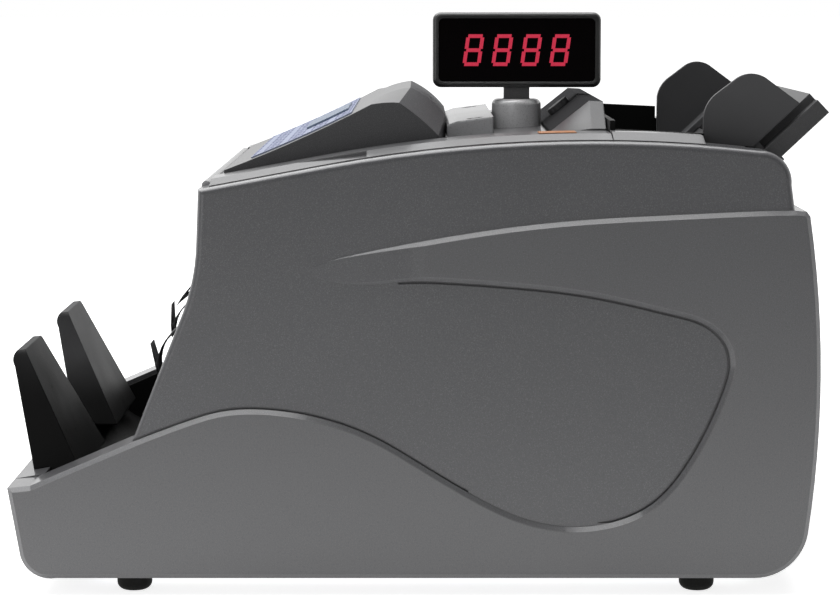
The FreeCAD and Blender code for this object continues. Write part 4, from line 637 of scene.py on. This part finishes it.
def makeBlade():
    startPiece()
    lean = math.radians(180.0 - wheel["tipLean"])
    bpy.ops.mesh.primitive_grid_add(x_subdivisions=1, y_subdivisions=wheel["straightSteps"], size=1.0,
                                    location=(0, 0, 0))
    blade = bpy.context.object
    blade.scale = (wheel["halfWidth"] * 2, wheel["straight"], 1.0)
    bakePlace()
    tip = Vector((0, wheel["tipRadius"], 0))
    blade.data.transform(Matrix.Translation(tip) @ Matrix.Rotation(lean, 4, "X")
                         @ Matrix.Translation((0, wheel["straight"] / 2, 0)))
    inner = tip + Vector((0, math.cos(lean), math.sin(lean))) * wheel["straight"]
    centre = inner + Vector((0, -math.sin(lean), math.cos(lean))) * wheel["curlRadius"]
    bpy.ops.object.mode_set(mode="EDIT")
    bpy.ops.mesh.select_mode(type="VERT")
    bpy.ops.mesh.select_all(action="DESELECT")
    bpy.ops.object.mode_set(mode="OBJECT")
    for vertex in blade.data.vertices:
        vertex.select = math.hypot(vertex.co.y - inner.y, vertex.co.z - inner.z) < wheel["joinWithin"]
    bpy.ops.object.mode_set(mode="EDIT")
    bpy.ops.mesh.spin(steps=wheel["curlSteps"], angle=math.radians(wheel["curlDeg"]), center=centre, axis=(1, 0, 0))
    bpy.ops.object.mode_set(mode="OBJECT")
    group = blade.vertex_groups.new(name="thickness")
    for vertex in blade.data.vertices:
        along = (Vector((0, vertex.co.y, vertex.co.z)) - tip).length
        group.add([vertex.index], min(1.0, wheel["thinTip"] + along / wheel["thickFrom"]), "REPLACE")
    solid = blade.modifiers.new("solid", "SOLIDIFY")
    solid.thickness = wheel["thick"]
    solid.offset = 0.0
    solid.vertex_group = group.name
    bpy.ops.object.modifier_apply(modifier=solid.name)
    bpy.ops.object.mode_set(mode="EDIT")
    bpy.ops.mesh.select_all(action="SELECT")
    bpy.ops.mesh.normals_make_consistent(inside=False)
    bpy.ops.object.mode_set(mode="OBJECT")
    smoothPiece()
    return blade


def makeHub():
    startPiece()
    bpy.ops.mesh.primitive_cylinder_add(vertices=wheel["hubSides"], radius=wheel["hubRadius"],
                                        depth=wheel["halfWidth"] * 2, rotation=(0, math.pi / 2, 0))
    hub = bpy.context.object
    bakePlace()
    pickFaces(hub, lambda face: abs(face.normal.x) > 0.9)
    bpy.ops.mesh.inset(thickness=wheel["webInset"])
    bpy.ops.object.mode_set(mode="OBJECT")
    for side in (-1.0, 1.0):
        pickFaces(hub, lambda face: face.normal.x * side > 0.9 and len(face.vertices) > 4)
        bpy.ops.mesh.extrude_region_move(TRANSFORM_OT_translate={"value": (-side * wheel["webDepth"], 0, 0)})
        bpy.ops.object.mode_set(mode="OBJECT")
    applyBevel(hub, wheel["hubRound"])
    bpy.ops.object.select_all(action="DESELECT")
    bpy.ops.mesh.primitive_cylinder_add(vertices=wheel["hubSides"], radius=wheel["boreRadius"],
                                        depth=wheel["halfWidth"] * 3, rotation=(0, math.pi / 2, 0))
    cutWith(hub, bpy.context.object)
    smoothPiece()
    return hub


def makeWheel():
    blade = makeBlade()
    hub = makeHub()
    step = math.radians(360.0 / wheel["blades"])
    blades = [copyMesh(blade, "blade", Matrix.Rotation(step * index, 4, "X")) for index in range(wheel["blades"])]
    discard(blade)
    bpy.ops.object.select_all(action="DESELECT")
    for piece in blades + [hub]:
        piece.select_set(True)
    bpy.context.view_layer.objects.active = hub
    bpy.ops.object.join()
    return hub


wheelPattern = makeWheel()
for side, tipDeg, label in ((1.0, wheel["rightTip"], "right"), (-1.0, wheel["leftTip"], "left")):
    centre = Vector((side * wheel["centre"][0], wheel["centre"][1], wheel["centre"][2]))
    turn = Matrix.Rotation(math.radians(tipDeg), 4, "X")
    piece = copyMesh(wheelPattern, "bladedWheel_" + label, Matrix.Translation(centre) @ turn)
    dress(piece, wheelRubber, "impeller_rotor")
    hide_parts("stacker_wheel_" + label)
discard(wheelPattern)
print("stacker wheels made")

# on and off marks moulded on the rocker
mark = {"strokeRadius": 0.00028, "strokeSides": 12, "strokeRound": 0.0001, "barHalf": 0.0014, "ringRadius": 0.0013,
        "ringSteps": 32, "ringSides": 8, "ringFlat": 0.6, "rise": 0.00005, "fromEnd": 0.0036, "rayFrom": 0.2}


def makeBar():
    startPiece()
    bpy.ops.mesh.primitive_cylinder_add(vertices=mark["strokeSides"], radius=mark["strokeRadius"],
                                        depth=mark["barHalf"] * 2, rotation=(0, math.pi / 2, 0))
    bar = bpy.context.object
    bakePlace()
    applyBevel(bar, mark["strokeRound"])
    return bar


def makeRing():
    startPiece()
    bpy.ops.mesh.primitive_torus_add(major_radius=mark["ringRadius"], minor_radius=mark["strokeRadius"],
                                     major_segments=mark["ringSteps"], minor_segments=mark["ringSides"])
    ring = bpy.context.object
    bpy.ops.object.mode_set(mode="EDIT")
    bpy.ops.mesh.select_all(action="SELECT")
    bpy.ops.transform.resize(value=(1.0, 1.0, mark["ringFlat"]))
    bpy.ops.object.mode_set(mode="OBJECT")
    bpy.ops.object.shade_smooth()
    return ring


markWhite = moulded("markWhite", dict(guideLook, dark=(0.55, 0.55, 0.55), light=(0.66, 0.66, 0.65), dust=0.05))
barPattern, ringPattern = makeBar(), makeRing()
rockerLow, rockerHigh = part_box("rocker_switch")
rockerX = (rockerLow[0] + rockerHigh[0]) / 2
for pattern, name, z in ((barPattern, "markOn", rockerLow[2] + mark["fromEnd"]),
                         (ringPattern, "markOff", rockerHigh[2] - mark["fromEnd"])):
    place, normal = surfaceAt("rocker_switch", (rockerX, mark["rayFrom"], z), (0, -1, 0))
    placeCopy(pattern, name, place + normal * mark["rise"], normal, "rocker", markWhite)
discard(barPattern, ringPattern)
print("rocker marks made")

# infrared note sensors: small dark lenses in a collar, on the chute floor and the stacker's back wall
sensor = {"radius": 0.0025, "segments": 24, "rings": 12, "flat": 0.45, "collar": 0.0036, "collarSides": 32,
          "rise": 0.0008, "sunk": 0.0003, "seatPlay": 1.02, "collarRound": 0.0002,
          "glassDark": (0.020, 0.003, 0.010), "glassLight": (0.045, 0.008, 0.022), "hazeScale": 600.0,
          "glassRough": (0.05, 0.12), "glassCoat": 0.5,
          "places": [("hopper_liner", (-0.014, 0.084, 0.20), (0, 0, -1)),
                     ("hopper_liner", (0.014, 0.084, 0.20), (0, 0, -1)),
                     ("stacker_lining", (-0.062, -0.160, 0.070), (0, 1, 0)),
                     ("stacker_lining", (0.062, -0.160, 0.070), (0, 1, 0))]}


def makeLens():
    startPiece()
    bpy.ops.mesh.primitive_uv_sphere_add(segments=sensor["segments"], ring_count=sensor["rings"],
                                         radius=sensor["radius"], location=(0, 0, 0))
    glass = bpy.context.object
    bpy.ops.object.mode_set(mode="EDIT")
    bpy.ops.mesh.select_all(action="SELECT")
    bpy.ops.mesh.bisect(plane_co=(0, 0, 0), plane_no=(0, 0, 1), clear_inner=True, use_fill=True)
    bpy.ops.mesh.select_all(action="SELECT")
    bpy.ops.transform.resize(value=(1.0, 1.0, sensor["flat"]))
    bpy.ops.object.mode_set(mode="OBJECT")
    smoothPiece()
    return glass


def makeCollar():
    startPiece()
    bpy.ops.mesh.primitive_cylinder_add(vertices=sensor["collarSides"], radius=sensor["collar"], depth=sensor["rise"],
                                        location=(0, 0, sensor["rise"] / 2 - sensor["sunk"]))
    collar = bpy.context.object
    pickFaces(collar, lambda face: face.normal.z > 0.9)
    bpy.ops.mesh.inset(thickness=sensor["collar"] - sensor["radius"] * sensor["seatPlay"])
    bpy.ops.mesh.extrude_region_move(TRANSFORM_OT_translate={"value": (0, 0, -sensor["rise"] * 0.5)})
    bpy.ops.object.mode_set(mode="OBJECT")
    applyBevel(collar, sensor["collarRound"])
    return collar


def lensGlass(name):
    tree = Tree(name)
    haze = tree.noise(tree.coords(), sensor["hazeScale"], 2.0, 0.5)
    colour = tree.mix(haze, sensor["glassDark"], sensor["glassLight"])
    return tree.finish(colour, tree.band(haze, 0.3, 0.7, *sensor["glassRough"]), Coat_Weight=sensor["glassCoat"])


lensMaterial = lensGlass("lensGlass")
glassPattern, collarPattern = makeLens(), makeCollar()
for index, (nodeName, start, direction) in enumerate(sensor["places"]):
    place, normal = surfaceAt(nodeName, start, direction)
    placeCopy(glassPattern, "sensorLens_%d" % index, place, normal, "chassis", lensMaterial)
    placeCopy(collarPattern, "sensorCollar_%d" % index, place, normal, "chassis", blackPlastic)
discard(glassPattern, collarPattern)
print("sensors placed")

# a plain floor that reads white away from the machine and keeps a faint shadow under it
studio = {"floorSize": 60.0, "floorPale": (0.82, 0.82, 0.82), "floorRough": 0.9, "floorGlow": 0.8, "farGlow": 1.0,
          "nearEdge": 0.35, "farEdge": 1.1, "glowBehind": 0.0, "glowGone": 0.6, "glowLeft": 0.05,
          "ambientFront": 0.36, "ambientRear": 0.12, "mirrorBack": 1.0, "mirrorCamera": 0.08,
          "mirrorSpan": (-0.2, 0.7),
          "topPlace": (-0.2, -0.3, 1.5), "topSize": 1.6, "topPower": 30.0,
          "sidePlace": (1.6, -0.9, 0.5), "sideSize": 1.0, "sidePower": 3.5, "aim": (0, 0, 0.1)}


def floorMaterial():
    tree = Tree("paleFloor")
    x, y, z = tree.split(tree.coords())
    away = tree.maths("SQRT", tree.maths("ADD", tree.maths("MULTIPLY", x, x), tree.maths("MULTIPLY", y, y)))
    path = tree.add("ShaderNodeLightPath")
    behind = tree.band(x, studio["glowBehind"], studio["glowGone"], 1.0, studio["glowLeft"])
    mirrored = tree.maths("MULTIPLY", path.outputs["Is Glossy Ray"], behind)
    through = tree.maths("MAXIMUM", mirrored, path.outputs["Is Transmission Ray"])
    seen = tree.maths("MAXIMUM", path.outputs["Is Camera Ray"], through)
    glow = tree.band(away, studio["nearEdge"], studio["farEdge"], studio["floorGlow"], studio["farGlow"])
    tree.put(tree.maths("MULTIPLY", seen, glow), tree.shader.inputs["Emission Strength"])
    tree.shader.inputs["Emission Color"].default_value = (1, 1, 1, 1)
    return tree.finish(studio["floorPale"], studio["floorRough"], Specular_IOR_Level=0.0)


startPiece()
bpy.ops.mesh.primitive_plane_add(size=studio["floorSize"], location=(0, 0, 0))
floor = bpy.context.object
floor.name = "studioFloor"
floor.data.materials.append(floorMaterial())

# soft room: brighter ahead of the machine than behind it, white behind it for the camera and for gloss
world = bpy.data.worlds.new("studioWorld")
bpy.context.scene.world = world
world.use_nodes = True
skyNodes = world.node_tree.nodes
skyLinks = world.node_tree.links
background = skyNodes["Background"]
background.inputs["Color"].default_value = (1, 1, 1, 1)
direction = skyNodes.new("ShaderNodeTexCoord")
axes = skyNodes.new("ShaderNodeSeparateXYZ")
skyLinks.new(direction.outputs["Generated"], axes.inputs["Vector"])
rayKind = skyNodes.new("ShaderNodeLightPath")


def skyRamp(source, low, high, first, last):
    node = skyNodes.new("ShaderNodeMapRange")
    for name, value in {"From Min": low, "From Max": high, "To Min": first, "To Max": last}.items():
        node.inputs[name].default_value = value
    skyLinks.new(source, node.inputs["Value"])
    return node.outputs["Result"]


def skyMix(factor, first, second):
    node = skyNodes.new("ShaderNodeMix")
    skyLinks.new(factor, node.inputs[0])
    for index, value in ((2, first), (3, second)):
        if hasattr(value, "links"):
            skyLinks.new(value, node.inputs[index])
        else:
            node.inputs[index].default_value = value
    return node.outputs[0]


softRoom = skyRamp(axes.outputs["Y"], -1.0, 1.0, studio["ambientFront"], studio["ambientRear"])
mirrored = skyRamp(axes.outputs["X"], *studio["mirrorSpan"], studio["mirrorBack"], studio["mirrorCamera"])
glossLight = skyMix(rayKind.outputs["Is Glossy Ray"], softRoom, mirrored)
clearLight = skyMix(rayKind.outputs["Is Transmission Ray"], glossLight, 1.0)
skyLinks.new(skyMix(rayKind.outputs["Is Camera Ray"], clearLight, 1.0), background.inputs["Strength"])


def softLamp(name, place, size, power):
    lampData = bpy.data.lights.new(name, "AREA")
    lampData.shape = "SQUARE"
    lampData.size = size
    lampData.energy = power
    lamp = bpy.data.objects.new(name, lampData)
    bpy.context.scene.collection.objects.link(lamp)
    lamp.location = place
    lamp.rotation_euler = (Vector(studio["aim"]) - Vector(place)).to_track_quat("-Z", "Y").to_euler()


softLamp("overheadSoftbox", studio["topPlace"], studio["topSize"], studio["topPower"])
softLamp("cameraSideFill", studio["sidePlace"], studio["sideSize"], studio["sidePower"])
print("stage and lights set")
